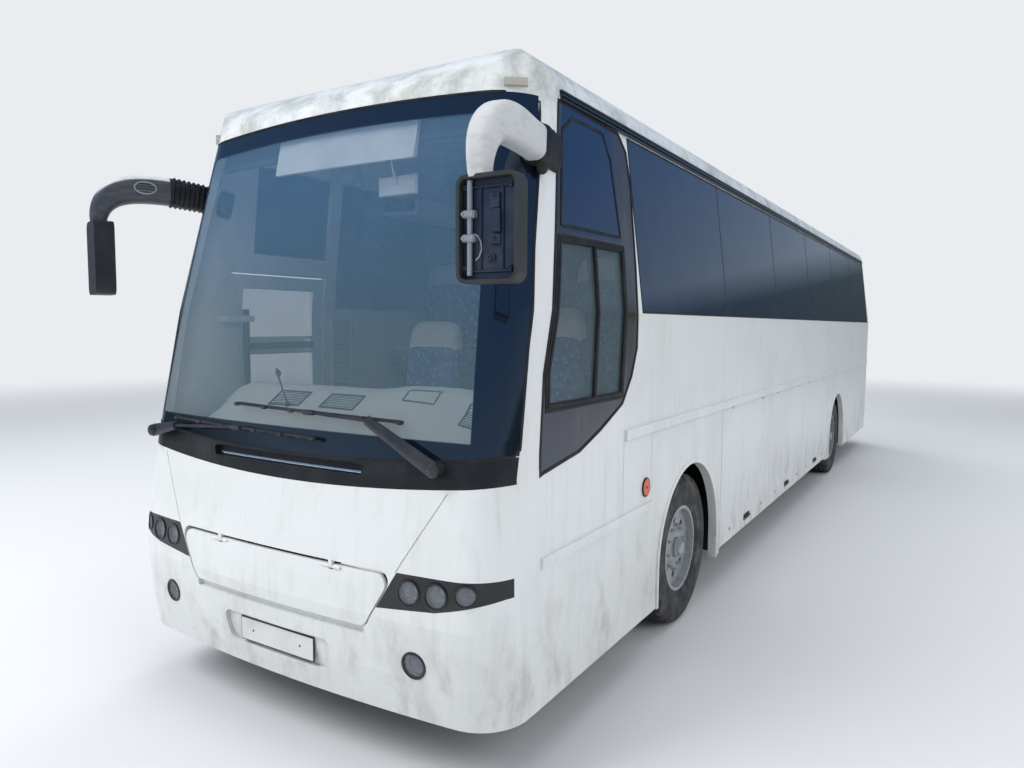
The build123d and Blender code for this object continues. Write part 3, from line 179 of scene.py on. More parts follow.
paintLook = {
    "white": rgb(0.76, 0.78, 0.78), "grime": rgb(0.36, 0.36, 0.31), "mud": rgb(0.20, 0.18, 0.14),
    "algae": rgb(0.20, 0.23, 0.15), "rough": 0.32, "coat": 0.25,
    "streaks": 0.20, "patches": 0.16, "specks": 0.12, "lowGrime": 0.16, "mudShare": 0.55, "algaeShare": 0.55,
    "skirtTop": 1.15, "skirtDepth": 0.9, "roofRise": (2.98, 3.22), "roofFade": (3.30, 3.46),
}


def makePaint(name):
    # streaks and patches of grime, mud on the skirt and green along the edge of the roof
    r = Recipe(name)
    height = r.axis("Z")
    patches = r.noise(1.3, 5.0, 0.6).ramp(0.42, 0.75)
    streaks = r.noise(2.2, 4.0, 0.6, (9, 9, 0.55)).ramp(0.50, 0.80)
    specks = r.noise(60.0, 3.0, 0.7).ramp(0.60, 0.78)
    skirt = (paintLook["skirtTop"] - height).ramp(0.0, paintLook["skirtDepth"])
    roofBand = height.ramp(*paintLook["roofRise"]) * (1.0 - height.ramp(*paintLook["roofFade"]) * 0.75)
    grime = (streaks * paintLook["streaks"] + patches * paintLook["patches"] + specks * paintLook["specks"]
             + skirt * paintLook["lowGrime"]).clip()
    mud = (skirt * r.noise(3.0, 6.0, 0.65, (2, 2, 1)).ramp(0.45, 0.8) * paintLook["mudShare"]).clip()
    algae = (roofBand * r.noise(5.0, 6.0, 0.7).ramp(0.38, 0.66) * paintLook["algaeShare"]).clip()
    colour = r.mix(grime, paintLook["white"], paintLook["grime"])
    colour = r.mix(mud, colour, paintLook["mud"])
    colour = r.mix(algae, colour, paintLook["algae"])
    return r.finish(Base_Color=colour, Roughness=(paintLook["rough"] + grime * 0.3 + mud * 0.3).clip(),
                    Coat_Weight=(paintLook["coat"] - grime * 0.2).clip(),
                    Normal=r.bump(r.noise(140.0, 2.0), 0.04))


def makePlastic(name, colour, rough=0.5, dust=0.25, grain=220.0):
    r = Recipe(name)
    dustMask = (r.noise(4.0, 5.0, 0.6).ramp(0.4, 0.75) * dust).clip()
    return r.finish(Base_Color=r.mix(dustMask, colour, rgb(0.28, 0.27, 0.24)),
                    Roughness=(rough + dustMask * 0.3).clip(), Normal=r.bump(r.noise(grain, 2.0), 0.12))


def makeMetal(name, colour, rough=0.3, metallic=1.0, rust=0.0):
    r = Recipe(name)
    spots = (r.noise(11.0, 7.0, 0.65).ramp(0.52, 0.7) * rust).clip()
    scuff = r.noise(18.0, 3.0, scale=(3, 3, 30))
    return r.finish(Base_Color=r.mix(spots, colour, rgb(0.19, 0.08, 0.04)),
                    Roughness=(rough + scuff * 0.15 + spots * 0.3).clip(),
                    Metallic=(metallic - spots * metallic * 0.9).clip(), Normal=r.bump(scuff, 0.06))


def filmOn(r, haze):
    # streaky dirt on glass
    return (r.noise(2.5, 5.0, 0.6, (3, 3, 0.7)).ramp(0.45, 0.8) * haze).clip()


def makeGlass(name, colour, alpha, rough=0.03, haze=0.1, frit=None, sheen=rgb(1, 1, 1),
              mirror=0.5, top=None):
    # sheen tints what the glass mirrors, mirror says how much, and top is a painted sky reflection: the
    # bluer base colour the glass fades to higher up
    r = Recipe(name)
    if top is not None:
        # painted sky reflection: the base colour turns to the top colour from 1.6 m up to 2.9 m
        colour = r.mix(r.axis("Z").ramp(1.6, 2.9), colour, top)
    film = filmOn(r, haze)
    tint = r.mix(film, colour, rgb(0.30, 0.34, 0.36))
    cover = film * 0.4 + alpha
    if frit is not None:
        band = frit(r)
        tint = r.mix(band, tint, rgb(0.006, 0.010, 0.018))
        cover = cover.most(band)
    return r.finish(Base_Color=tint, Roughness=(film * 0.25 + rough).clip(), Alpha=cover.clip(),
                    Specular_IOR_Level=mirror, Specular_Tint=sheen, IOR=1.5)


def makeRubber(name, colour, dust=0.4):
    r = Recipe(name)
    mask = (r.noise(9.0, 6.0, 0.65).ramp(0.4, 0.75) * dust).clip()
    return r.finish(Base_Color=r.mix(mask, colour, rgb(0.16, 0.15, 0.13)),
                    Roughness=(0.62 + mask * 0.25).clip(), Normal=r.bump(r.noise(90.0, 4.0), 0.2))


def makeCloth(name, ground, figure, scale=26.0):
    # dots and curls on a woven ground
    r = Recipe(name)
    dots = r.cells(scale).ramp(0.30, 0.18)
    curls = r.noise(scale * 0.6, 2.0).ramp(0.52, 0.60)
    weave = (r.axis("X") * 2400.0).wave() * (r.axis("Z") * 2400.0).wave()
    return r.finish(Base_Color=r.mix((dots * 0.75 + curls * 0.35).clip(), ground, figure), Roughness=0.92,
                    Sheen_Weight=0.25, Normal=r.bump(weave + r.noise(60.0, 3.0), 0.25))


def screenFrit(r):
    # black band round the windscreen, wider on the driver's side
    x, z = r.axis("X"), r.axis("Z")
    lean = (z - 1.465) * 0.0696
    left = (x + lean).ramp(1.085, 1.092)
    right = (-x + lean).ramp(1.145, 1.152)
    top = (x * x * 0.0285 + z).ramp(3.062, 3.068)
    low = (1.56 - z).ramp(0.0, 0.006)
    return left.most(right).most(top).most(low)


def armPaint(name):
    # the left arm is pale all over; the right one gets a painted shade colour, with painted sunlight only on
    # the faces that turn upward
    r = Recipe(name)
    facing = r.add("ShaderNodeNewGeometry", {}, {}, "Normal")
    sunlitUpFacing = r.add("ShaderNodeSeparateXYZ", {}, {0: facing}, "Z")
    # pale: the whole left arm, and on the right arm only the up-facing faces, where painted sunlight falls
    pale = r.axis("X").above(0.0).most(sunlitUpFacing.ramp(0.35, 0.62))
    dirt = (r.noise(5.0, 5.0, 0.6, (2, 2, 8)).ramp(0.45, 0.8) * 0.35).clip()
    # the dark colour is painted shade on the right arm's sides and underside
    colour = r.mix(pale, rgb(0.055, 0.060, 0.075), rgb(0.60, 0.61, 0.61))
    return r.finish(Base_Color=r.mix(dirt, colour, rgb(0.22, 0.22, 0.20)),
                    Roughness=(dirt * 0.4 + 0.35).clip(), Normal=r.bump(r.noise(160.0, 2.0), 0.08))


def headPlastic(name):
    # grey-black rubber surround on the left, plain black on the right
    r = Recipe(name)
    worn = (r.noise(14.0, 6.0, 0.65).ramp(0.35, 0.75) * 0.5).clip()
    colour = r.mix(r.axis("X").above(0.0), rgb(0.012, 0.014, 0.020), rgb(0.030, 0.033, 0.035))
    return r.finish(Base_Color=r.mix(worn * 0.3, colour, rgb(0.12, 0.12, 0.11)),
                    Roughness=(worn * 0.3 + 0.45).clip(), Normal=r.bump(r.noise(70.0, 4.0), 0.2))


def lampLens(name):
    # clear in front, orange reflectors on the sides, milky markers on the roof's edge
    r = Recipe(name)
    side = abs(r.axis("X")).above(1.272)
    roofLamp = r.axis("Z").above(3.0)
    colour = r.mix(side, rgb(0.42, 0.46, 0.50), rgb(0.62, 0.10, 0.02))
    return r.finish(Base_Color=r.mix(roofLamp, colour, rgb(0.52, 0.50, 0.42)), Roughness=0.12, IOR=1.5,
                    Alpha=side.most(roofLamp * 0.8).most(0.22).clip(),
                    Normal=r.bump((r.axis("Z") * 900.0).wave(), 0.10))


def tailLens(name):
    # orange, clear and red chambers from the top down
    r = Recipe(name)
    height = r.axis("Z")
    colour = r.mix(height.above(1.35), rgb(0.42, 0.012, 0.012), rgb(0.60, 0.16, 0.015))
    colour = r.mix(height.above(1.05) * (1.0 - height.above(1.197)), colour, rgb(0.60, 0.60, 0.58))
    grid = (height * 1200.0).wave() * (r.axis("X") * 1200.0).wave()
    return r.finish(Base_Color=colour, Roughness=0.10, IOR=1.5, Normal=r.bump(grid, 0.15))


def driverGlass(name):
    # blue upper pane, brown-grey pillar and lower part
    r = Recipe(name)
    s, z = r.axis("Y") - bus["noseY"], r.axis("Z")
    upper = z.above(2.52) * (1.40 - s).above(0.0) * (s - 0.70 - (z - 2.54) * 0.23).above(0.0)
    film = filmOn(r, 0.3)
    worn = r.mix(film, rgb(0.030, 0.027, 0.025), rgb(0.16, 0.15, 0.13))
    return r.finish(Base_Color=r.mix(upper, worn, rgb(0.008, 0.022, 0.060)), Coat_Weight=0.0,
                    Roughness=(film * 0.3 + 0.04).clip(), Specular_IOR_Level=0.8,
                    Specular_Tint=rgb(0.45, 0.62, 0.95))


def armLens(name):
    # dark lens with pale ripples
    r = Recipe(name)
    ripple = (r.axis("Z") * 420.0).wave().ramp(0.3, 0.9)
    colour = r.mix(ripple * 0.35, rgb(0.045, 0.048, 0.050), rgb(0.40, 0.40, 0.38))
    return r.finish(Base_Color=colour, Roughness=0.12, Metallic=0.3, IOR=1.5)


finish = {
    # the frame's own slots
    "white_paint": makePaint("bodyWhite"),
    "dark_steel": makeMetal("frameSteel", rgb(0.05, 0.05, 0.055), 0.5, 0.5, 0.6),
    "floor_grey": makePlastic("floorGrey", rgb(0.10, 0.10, 0.11), 0.7, 0.5, 60.0),
    "black_plastic": makePlastic("blackPlastic", rgb(0.010, 0.011, 0.013), 0.32, 0.07),
    "tinted_glass": makeGlass("tintedGlass", rgb(0.010, 0.020, 0.045), 1.0, 0.015, 0.03,
                              sheen=rgb(0.45, 0.66, 1.0), mirror=1.0),
    "clear_glass": makeGlass("clearGlass", rgb(0.16, 0.24, 0.28), 0.26, 0.02, 0.08),
    "mirror_glass": makeMetal("mirrorGlass", rgb(0.80, 0.82, 0.84), 0.03),
    "lens_clear": lampLens("lensClear"),
    "lens_red": tailLens("lensRed"),
    "dash_grey": makePlastic("dashGrey", rgb(0.44, 0.46, 0.46), 0.6, 0.25, 160.0),
    "seat_fabric": makeCloth("seatCloth", rgb(0.045, 0.075, 0.20), rgb(0.22, 0.27, 0.42)),
    "rubber": makeRubber("rubber", rgb(0.016, 0.016, 0.017), 0.2),
    "tyre": makeRubber("tyreRubber", rgb(0.018, 0.018, 0.019), 0.7),
    "rim_paint": makeMetal("rimPaint", rgb(0.45, 0.46, 0.46), 0.4, 0.6, 0.5),
    "engine_iron": makeMetal("engineIron", rgb(0.10, 0.10, 0.10), 0.6, 0.6, 0.8),
    # finishes of single nodes and of the pieces added here
    # the windscreen's top colour is a painted sky reflection, brighter blue towards its upper edge
    "screen": makeGlass("windscreenGlass", rgb(0.16, 0.25, 0.29), 0.24, 0.02, 0.07, screenFrit,
                        sheen=rgb(0.65, 0.82, 1.0), mirror=1.0, top=rgb(0.13, 0.27, 0.45)),
    "doorGlass": makeGlass("doorGlass", rgb(0.06, 0.10, 0.11), 0.42, 0.02, 0.08, sheen=rgb(0.6, 0.75, 0.95)),
    "driverGlass": driverGlass("driverWindowGlass"),
    # the arms' finish holds painted shade on the right arm and painted sunlight along its top
    "arms": armPaint("mirrorArmPaintAndShade"),
    "heads": headPlastic("mirrorHeadPlastic"),
    "armLens": armLens("armLensGlass"),
    "chrome": makeMetal("brightStrip", rgb(0.78, 0.78, 0.78), 0.14),
    "bowl": makeMetal("lampBowl", rgb(0.55, 0.57, 0.60), 0.12),
    "gasket": makeRubber("gasketRubber", rgb(0.010, 0.010, 0.011), 0.12),
    "wiper": makePlastic("wiperGrey", rgb(0.022, 0.024, 0.030), 0.40, 0.10),
    "blueBlack": makePlastic("blueBlack", rgb(0.012, 0.023, 0.052), 0.36, 0.10, 120.0),
    "clampGrey": makeMetal("clampGrey", rgb(0.42, 0.44, 0.47), 0.35, 0.6, 0.2),
    "cover": makeCloth("headrestCover", rgb(0.50, 0.47, 0.44), rgb(0.38, 0.35, 0.33), 60.0),
    "blank": makePlastic("blankWhite", rgb(0.66, 0.67, 0.66), 0.4, 0.3),
    "blind": makePlastic("blindGrey", rgb(0.050, 0.065, 0.080), 0.6, 0.1),
}
ownFinish = {
    "front_door_glass": "doorGlass", "driver_window_glass": "driverGlass", "windscreen": "screen",
    "mirror_arms": "arms", "mirror_heads": "heads", "wipers": "wiper",
}
for part in frame["record"]["subparts"]:
    body = frame["nodes"][part["node"]]
    chosen = finish[ownFinish.get(part["node"], part["material_slot"])]
    for index in range(len(body.material_slots)):
        body.material_slots[index].material = chosen
print("finishes made:", len(finish))

# Shapes


def steps(first, last, count):
    # even values from first to last
    return [first + (last - first) * i / count for i in range(count + 1)]


def turnsOf(count):
    # angles round a full turn
    return [2 * math.pi * i / count for i in range(count)]


class Shape:
    # gathers the points and faces of one piece

    def __init__(self):
        self.points, self.faces, self.marks = [], [], []

    def add(self, points, faces, marks):
        base = len(self.points)
        self.points += [tuple(point) for point in points]
        self.faces += [tuple(base + i for i in face) for face in faces]
        self.marks += marks

    def skin(self, rings, mark=0, loop=False):
        # quads between closed rings of the same count, with a cap on each end unless they loop
        count = len(rings[0])
        faces = []
        for row in range(len(rings) if loop else len(rings) - 1):
            here, there = row * count, (row + 1) % len(rings) * count
            for i in range(count):
                j = (i + 1) % count
                faces.append((here + i, here + j, there + j, there + i))
        if not loop:
            last = (len(rings) - 1) * count
            faces.append(tuple(reversed(range(count))))
            faces.append(tuple(last + i for i in range(count)))
        self.add([point for ring in rings for point in ring], faces, [mark] * len(faces))

    def sweep(self, path, profile, normals=None, loop=False, mark=0):
        # profile is (across, out) pairs, and out follows the normals
        path = [Vector(point) for point in path]
        out = None
        rings = []
        for i, spot in enumerate(path):
            before = path[i - 1] if loop or i else spot
            after = path[(i + 1) % len(path)] if loop or i < len(path) - 1 else spot
            run = (after - before).normalized()
            if normals:
                out = Vector(normals[i])
            elif out is None:
                out = run.orthogonal()
            out = (out - run * out.dot(run)).normalized()
            across = run.cross(out)
            rings.append([spot + across * a + out * b for a, b in profile])
        self.skin(rings, mark, loop)

    def lathe(self, centre, axis, profile, count=32, mark=0, loop=False):
        # profile is (along, radius) pairs
        axis, centre = Vector(axis).normalized(), Vector(centre)
        side = axis.orthogonal().normalized()
        other = axis.cross(side)
        ways = [side * math.cos(t) + other * math.sin(t) for t in turnsOf(count)]
        self.skin([[centre + axis * a + way * r for way in ways] for a, r in profile], mark, loop)

    def block(self, centre, size, turn=None, edge=0.002, mark=0):
        # box with bevelled edges
        w, d, h = (value / 2 for value in size)
        turn = turn or Matrix.Identity(3)
        centre = Vector(centre)
        rings = []
        for inset, level in ((edge, -h), (0.0, -h + edge), (0.0, h - edge), (edge, h)):
            a, b = w - inset, d - inset
            corners = ((a - edge, -b), (a, -b + edge), (a, b - edge), (a - edge, b),
                       (-a + edge, b), (-a, b - edge), (-a, -b + edge), (-a + edge, -b))
            rings.append([turn @ Vector((x, y, level)) + centre for x, y in corners])
        self.skin(rings, mark)


def makePiece(name, shape, finishes, body="bus", sharp=40.0):
    # finishes are keys of the finish dictionary, one for each mark
    mesh = bpy.data.meshes.new(name)
    mesh.from_pydata(shape.points, [], shape.faces)
    for key in finishes:
        mesh.materials.append(finish[key])
    mesh.polygons.foreach_set("material_index", shape.marks)
    work = bmesh.new()
    work.from_mesh(mesh)
    bmesh.ops.recalc_face_normals(work, faces=work.faces)
    work.to_mesh(mesh)
    work.free()
    mesh.polygons.foreach_set("use_smooth", [True] * len(mesh.polygons))
    mesh.set_sharp_from_angle(angle=math.radians(sharp))
    piece = bpy.data.objects.new(name, mesh)
    bpy.context.scene.collection.objects.link(piece)
    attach(piece, body)
    return piece


def roundProfile(radius, sides=10, flat=1.0):
    return [(radius * math.cos(t), radius * flat * math.sin(t)) for t in turnsOf(sides)]


def lipProfile(half, rise, root=0.004):
    return [(-half, -root), (-half * 0.8, rise * 0.75), (-half * 0.3, rise), (half * 0.3, rise),
            (half * 0.8, rise * 0.75), (half, -root)]


def boxOf(x0, x1, z0, z1):
    return ((x0, z0), (x1, z0), (x1, z1), (x0, z1))


def spread(points, gap=0.06, loop=False):
    # even steps along a line of points
    ends = list(points) + ([points[0]] if loop else [])
    found = []
    for a, b in zip(ends, ends[1:]):
        count = max(1, math.ceil(math.dist(a, b) / gap))
        found += [tuple(p + (q - p) * i / count for p, q in zip(a, b)) for i in range(count)]
    return found if loop else found + [tuple(ends[-1])]


# Finding a spot on the bus's skin


def meshParts(mesh):
    return [vertex.co.copy() for vertex in mesh.vertices], [tuple(face.vertices) for face in mesh.polygons]


def treeOf(*nodes):
    points, faces = [], []
    for node in nodes:
        base = len(points)
        nodePoints, nodeFaces = meshParts(frame["nodes"][node].data)
        points += nodePoints
        faces += [tuple(base + i for i in face) for face in nodeFaces]
    return BVHTree.FromPolygons(points, faces)


frontTree = treeOf("front_shell", "front_flap", "front_bumper", "windscreen", "cowl_panel",
                   "headlamp_panels", "lamp_lenses", "roof", "side_wall_left", "side_wall_right")
sideTrees = {
    1: treeOf("front_shell", "side_wall_left", "driver_window_frame", "driver_window_glass", "body_glass",
              "windscreen", "luggage_flap_1_left", "luggage_flap_2_left",
              "luggage_flap_3_left", "rear_wall"),
    -1: treeOf("front_shell", "side_wall_right", "body_glass", "windscreen", "front_door_leaf",
               "front_door_glass", "luggage_flap_1_right", "luggage_flap_2_right", "luggage_flap_3_right"),
}
rearTree = treeOf("rear_wall", "tail_lamps", "body_glass", "engine_hood")
screenTree = treeOf("windscreen")


def cast(tree, start, way):
    spot, normal, _, _ = tree.ray_cast(Vector(start), Vector(way))
    if spot is None:
        raise ValueError("no surface at " + str(start))
    return spot, normal if normal.dot(Vector(way)) < 0 else -normal


def onFront(x, z):
    return cast(frontTree, (x, -bus["farOff"], z), (0, 1, 0))


def onSide(s, z, side=1):
    return cast(sideTrees[side], (bus["nearOff"] * side, along(s), z), (-side, 0, 0))


def onRight(s, z):
    return onSide(s, z, -1)


def onRear(x, z):
    return cast(rearTree, (x, bus["farOff"], z), (0, -1, 0))


def trimLine(shape, hits, profile, loop=False, mark=0):
    shape.sweep([spot for spot, _ in hits], profile, [normal for _, normal in hits], loop, mark)


def trace(shape, place, points, profile, loop=False, mark=0):
    # bead along points of a skin: place finds each spot and the way it faces
    trimLine(shape, [place(*point) for point in points], profile, loop, mark)


# Window gaskets and seams

screenTrim = {
    "sideEdge": ((0.312, 1.531), (0.390, 1.970), (0.485, 2.404), (0.585, 2.784), (0.655, 3.10)),
    # heights in the middle and at endX, and how far the line runs to each side
    "low": (1.432, 1.514, 1.24), "high": (3.165, 3.115, 1.02), "endX": 1.325, "half": 0.008, "rise": 0.003,
}


def screenArch(key, count):
    # bowed upper or lower edge of the windscreen
    middle, corner, reach = screenTrim[key]
    return [onFront(x, middle + (corner - middle) * (x / screenTrim["endX"]) ** 2)
            for x in steps(-reach, reach, count)]


shape = Shape()
outline = screenArch("low", 60)
outline += [onSide(s, z) for s, z in spread(screenTrim["sideEdge"])]
outline += reversed(screenArch("high", 40))
outline += [onRight(s, z) for s, z in spread(tuple(reversed(screenTrim["sideEdge"])))]
trimLine(shape, outline, lipProfile(screenTrim["half"], screenTrim["rise"]), True)
makePiece("screenGasket", shape, ["gasket"])

windowTrim = {
    "sweep": ((0.446, 1.40), (0.590, 1.420), (0.836, 1.454), (1.081, 1.535), (1.352, 1.645), (1.474, 1.790),
              (1.544, 1.944), (1.548, 2.160), (1.579, 2.400), (1.612, 2.860), (1.590, 3.050), (1.500, 3.136),
              (0.806, 3.146), (0.652, 2.510), (0.474, 1.850), (0.446, 1.50)),
    "sash": ((0.498, 1.680), (1.352, 1.680), (1.427, 2.499), (0.680, 2.489), (0.498, 1.860)),
    "upper": ((0.71, 2.54), (1.40, 2.55), (1.36, 2.96), (1.29, 3.09), (0.94, 3.09), (0.82, 3.01)),
    "frontPane": ((0.518, 1.700), (0.997, 1.700), (1.058, 2.478), (0.694, 2.472), (0.518, 1.850)),
    "rearPane": ((1.003, 1.700), (1.332, 1.700), (1.402, 2.482), (1.063, 2.478)),
    "seal": (0.010, 0.004, 0.012), "paneSeal": (0.012, 0.007, 0.020),
}
shape = Shape()
for key, seal in (("sweep", "seal"), ("sash", "seal"), ("upper", "seal"), ("frontPane", "paneSeal"),
                  ("rearPane", "paneSeal")):
    trace(shape, onSide, spread(windowTrim[key], 0.05, True), lipProfile(*windowTrim[seal]), True)
makePiece("driverWindowGaskets", shape, ["gasket"])

paneTrim = {
    "start": 1.620, "end": 11.970, "count": 6, "low": 2.146, "high": 3.134, "seal": (0.007, 0.0015, 0.006),
    "seamShift": 0.0015, "outerSeams": (1.6295, 11.9555), "lineInset": 0.02,
}
shape = Shape()
edge = lipProfile(*paneTrim["seal"])
seams = [s + paneTrim["seamShift"] for s in steps(paneTrim["start"], paneTrim["end"], paneTrim["count"])]
seams[0], seams[-1] = paneTrim["outerSeams"]
for side in (-1, 1):
    for s in seams:
        upright = spread(((s, paneTrim["low"]), (s, paneTrim["high"])), 0.2)
        trimLine(shape, [onSide(s, z, side) for _, z in upright], edge)
    for z in (paneTrim["low"], paneTrim["high"]):
        ends = ((paneTrim["start"] + paneTrim["lineInset"], z), (paneTrim["end"] - paneTrim["lineInset"], z))
        trimLine(shape, [onSide(s, height, side) for s, height in spread(ends, 0.4)], edge)
makePiece("sidePaneSeals", shape, ["gasket"])

rearTrim = {"halfX": 1.0, "low": 2.18, "high": 3.06, "corner": 0.06, "seal": (0.014, 0.005, 0.012)}
outline = []
for turn, (across, up) in enumerate(((1, 1), (-1, 1), (-1, -1), (1, -1))):
    c = rearTrim["corner"]
    cx = across * (rearTrim["halfX"] - c)
    cz = rearTrim["high"] - c if up > 0 else rearTrim["low"] + c
    outline += [(cx + c * math.cos(t), cz + c * math.sin(t))
                for t in steps(math.pi / 2 * turn, math.pi / 2 * (turn + 1), 5)]
shape = Shape()
trace(shape, onRear, spread(outline, 0.15, True), lipProfile(*rearTrim["seal"]), True)
makePiece("rearWindowGasket", shape, ["gasket"])

doorTrim = {
    "glass": boxOf(0.822, 1.478, 1.008, 2.322), "leaf": boxOf(0.756, 1.544, 0.36, 2.384),
    "seal": (0.010, 0.004, 0.008), "handle": (1.450, 0.935), "plate": (0.014, 0.150, 0.060),
    # (along the door, off the door) of the grip
    "grip": ((-0.055, 0.008), (-0.045, 0.032), (0.045, 0.032), (0.055, 0.008)), "gripR": 0.008,
}
shape = Shape()
for key in ("glass", "leaf"):
    trace(shape, onRight, spread(doorTrim[key], 0.1, True), lipProfile(*doorTrim["seal"]), True)
spot, normal = onRight(*doorTrim["handle"])
shape.block(spot + normal * 0.004, doorTrim["plate"], edge=0.006)
shape.sweep([spot + normal * off + Vector((0, y, 0)) for y, off in doorTrim["grip"]],
            roundProfile(doorTrim["gripR"]), mark=1)
makePiece("doorTrim", shape, ["gasket", "clampGrey"], "door_leaf")
print("gaskets and seams done")

# Cowl strip and wipers

cowlStrip = {"halfX": 0.505, "z": 1.382, "radius": 0.011, "flat": 0.6}
shape = Shape()
trace(shape, onFront, [(x, cowlStrip["z"]) for x in steps(-cowlStrip["halfX"], cowlStrip["halfX"], 40)],
      roundProfile(cowlStrip["radius"], 10, cowlStrip["flat"]))
makePiece("cowlStrip", shape, ["chrome"])

wiperLook = {
    # pivot, elbow, tip, blade start and blade end, as (x, z) on the glass
    "arms": (((-1.090, 1.455), (-0.870, 1.500), (-0.330, 1.533), (-0.886, 1.540), (0.232, 1.522)),
             ((0.950, 1.445), (0.565, 1.629), (0.190, 1.644), (-0.355, 1.652), (0.734, 1.631))),
    # s and z of the glass at its foot, lean and bow
    "glass": (0.084, 1.4, 0.2187, 20),
    # how far off the glass each part stands
    "bossOff": 0.058, "armOff": 0.050, "rodOff": 0.042, "bladeOff": 0.010, "clipOff": 0.036,
    "boss": ((-0.012, 0.032), (0.0, 0.034), (0.012, 0.030), (0.020, 0.018), (0.022, 0.002)),
    "armHalf": (0.036, 0.023),
    "armEdge": ((-1, -0.006), (-1, 0.004), (-0.55, 0.011), (0.55, 0.011), (1, 0.004), (1, -0.006)),
    "rod": ((-0.007, -0.002), (-0.007, 0.005), (0.007, 0.005), (0.007, -0.002)),
    "blade": ((-0.005, 0.0), (-0.003, 0.010), (-0.007, 0.016), (0.007, 0.016), (0.003, 0.010), (0.005, 0.0)),
    "joint": (0.075, 0.028, 0.024), "clip": (0.030, 0.022, 0.020),
    "clipShares": (0.0, 0.2, 0.38, 0.5, 0.62, 0.8, 1.0), "facing": Vector((0, -1, 0.2)),
}


def offScreen(point, off):
    # a place in front of the bowed, leaning windscreen
    x, z = point
    foot, footZ, lean, bow = wiperLook["glass"]
    return Vector((x, along(foot + lean * (z - footZ) + x * x / bow - off), z))


def between(a, b, share):
    return tuple(p + (q - p) * share for p, q in zip(a, b))


shape = Shape()
for pivot, elbow, tip, start, end in wiperLook["arms"]:
    shape.lathe(offScreen(pivot, wiperLook["bossOff"]), (0, -1, 0), wiperLook["boss"], 28)
    a, b = offScreen(pivot, wiperLook["armOff"]), offScreen(elbow, wiperLook["armOff"])
    run = (b - a).normalized()
    out = (wiperLook["facing"] - run * wiperLook["facing"].dot(run)).normalized()
    across = run.cross(out)
    wide, slim = wiperLook["armHalf"]
    shape.skin([[a.lerp(b, share) + across * u * (wide + (slim - wide) * share) + out * v
                 for u, v in wiperLook["armEdge"]] for share in steps(0.0, 1.0, 10)])
    c = offScreen(tip, wiperLook["rodOff"])
    shape.sweep([b.lerp(c, share) for share in steps(0.0, 1.0, 8)], wiperLook["rod"],
                [wiperLook["facing"]] * 9)
    shape.block(c, wiperLook["joint"], edge=0.005)
    blade = [offScreen(between(start, end, share), wiperLook["bladeOff"]) for share in steps(0.0, 1.0, 30)]
    shape.sweep(blade, wiperLook["blade"], [wiperLook["facing"]] * 31, mark=1)
    for share in wiperLook["clipShares"]:
        shape.block(offScreen(between(start, end, share), wiperLook["clipOff"]),
                    wiperLook["clip"], edge=0.004)
makePiece("wiperDetails", shape, ["wiper", "gasket"])
print("cowl strip and wipers done")

# Lamps

lampLook = {
    # x, z and radius of the headlamps and fog lamp
    "front": ((0.845, 0.896, 0.060), (0.985, 0.903, 0.060), (1.122, 0.921, 0.050), (0.867, 0.569, 0.062)),
    "rim": ((-0.006, -0.012), (-0.006, 0.003), (-0.003, 0.0055), (0.003, 0.0055), (0.006, 0.003),
            (0.006, -0.012)),
    "inset": 0.004, "bowlInset": 0.008, "bowlBack": 0.032, "bulbBack": 0.030,
    # (depth, share of the radius)
    "bowl": ((0.0, 1.0), (0.012, 1.0), (0.040, 0.86), (0.062, 0.6), (0.072, 0.35), (0.070, 0.30),
             (0.058, 0.52), (0.036, 0.78), (0.010, 0.92), (0.0, 0.94)),
    "bulb": ((0.026, 0.20), (0.018, 0.34), (0.010, 0.42), (0.004, 0.42), (-0.004, 0.30), (-0.008, 0.12)),
    "tips": (0.030, -0.009), "tipR": 0.002,
}
rims, bowls = Shape(), Shape()
for side in (-1, 1):
    for x, z, radius in lampLook["front"]:
        reach = radius - lampLook["inset"]
        trace(rims, onFront,
              [(side * (x + reach * math.cos(t)), z + reach * math.sin(t)) for t in turnsOf(40)],
              lampLook["rim"], True)
        back = onFront(side * x, z)[0] + Vector((0, lampLook["bowlBack"], 0))
        outer = radius - lampLook["bowlInset"]
        bowls.lathe(back, (0, 1, 0),
                    [(depth, outer * share) for depth, share in lampLook["bowl"]], 40, 0, True)
        bulb = [(depth, outer * share) for depth, share in lampLook["bulb"]]
        first, last = ((depth, lampLook["tipR"]) for depth in lampLook["tips"])
        bowls.lathe(back + Vector((0, lampLook["bulbBack"], 0)), (0, 1, 0), [first] + bulb + [last], 28, 1)
makePiece("lampRings", rims, ["black_plastic"])
makePiece("lampBowls", bowls, ["bowl", "clampGrey"])

reflectorLook = {
    "s": 1.716, "z": 1.112, "radius": 0.054, "rimR": 0.005, "screwOff": 0.0125,
    "screw": ((-0.003, 0.006), (0.001, 0.006), (0.0015, 0.003)),
}
shape = Shape()
for side in (-1, 1):
    s, z, radius = (reflectorLook[key] for key in ("s", "z", "radius"))
    rimX = side * (bus["halfWidth"] + reflectorLook["rimR"])
    path = [Vector((rimX, along(s + radius * math.cos(t)), z + radius * math.sin(t))) for t in turnsOf(36)]
    shape.sweep(path, roundProfile(reflectorLook["rimR"], 8), [Vector((side, 0, 0))] * 36, True)
    screwX = side * (bus["halfWidth"] + reflectorLook["screwOff"])
    shape.lathe((screwX, along(s), z), (side, 0, 0), reflectorLook["screw"], 12)
makePiece("sideReflectorRims", shape, ["black_plastic"])

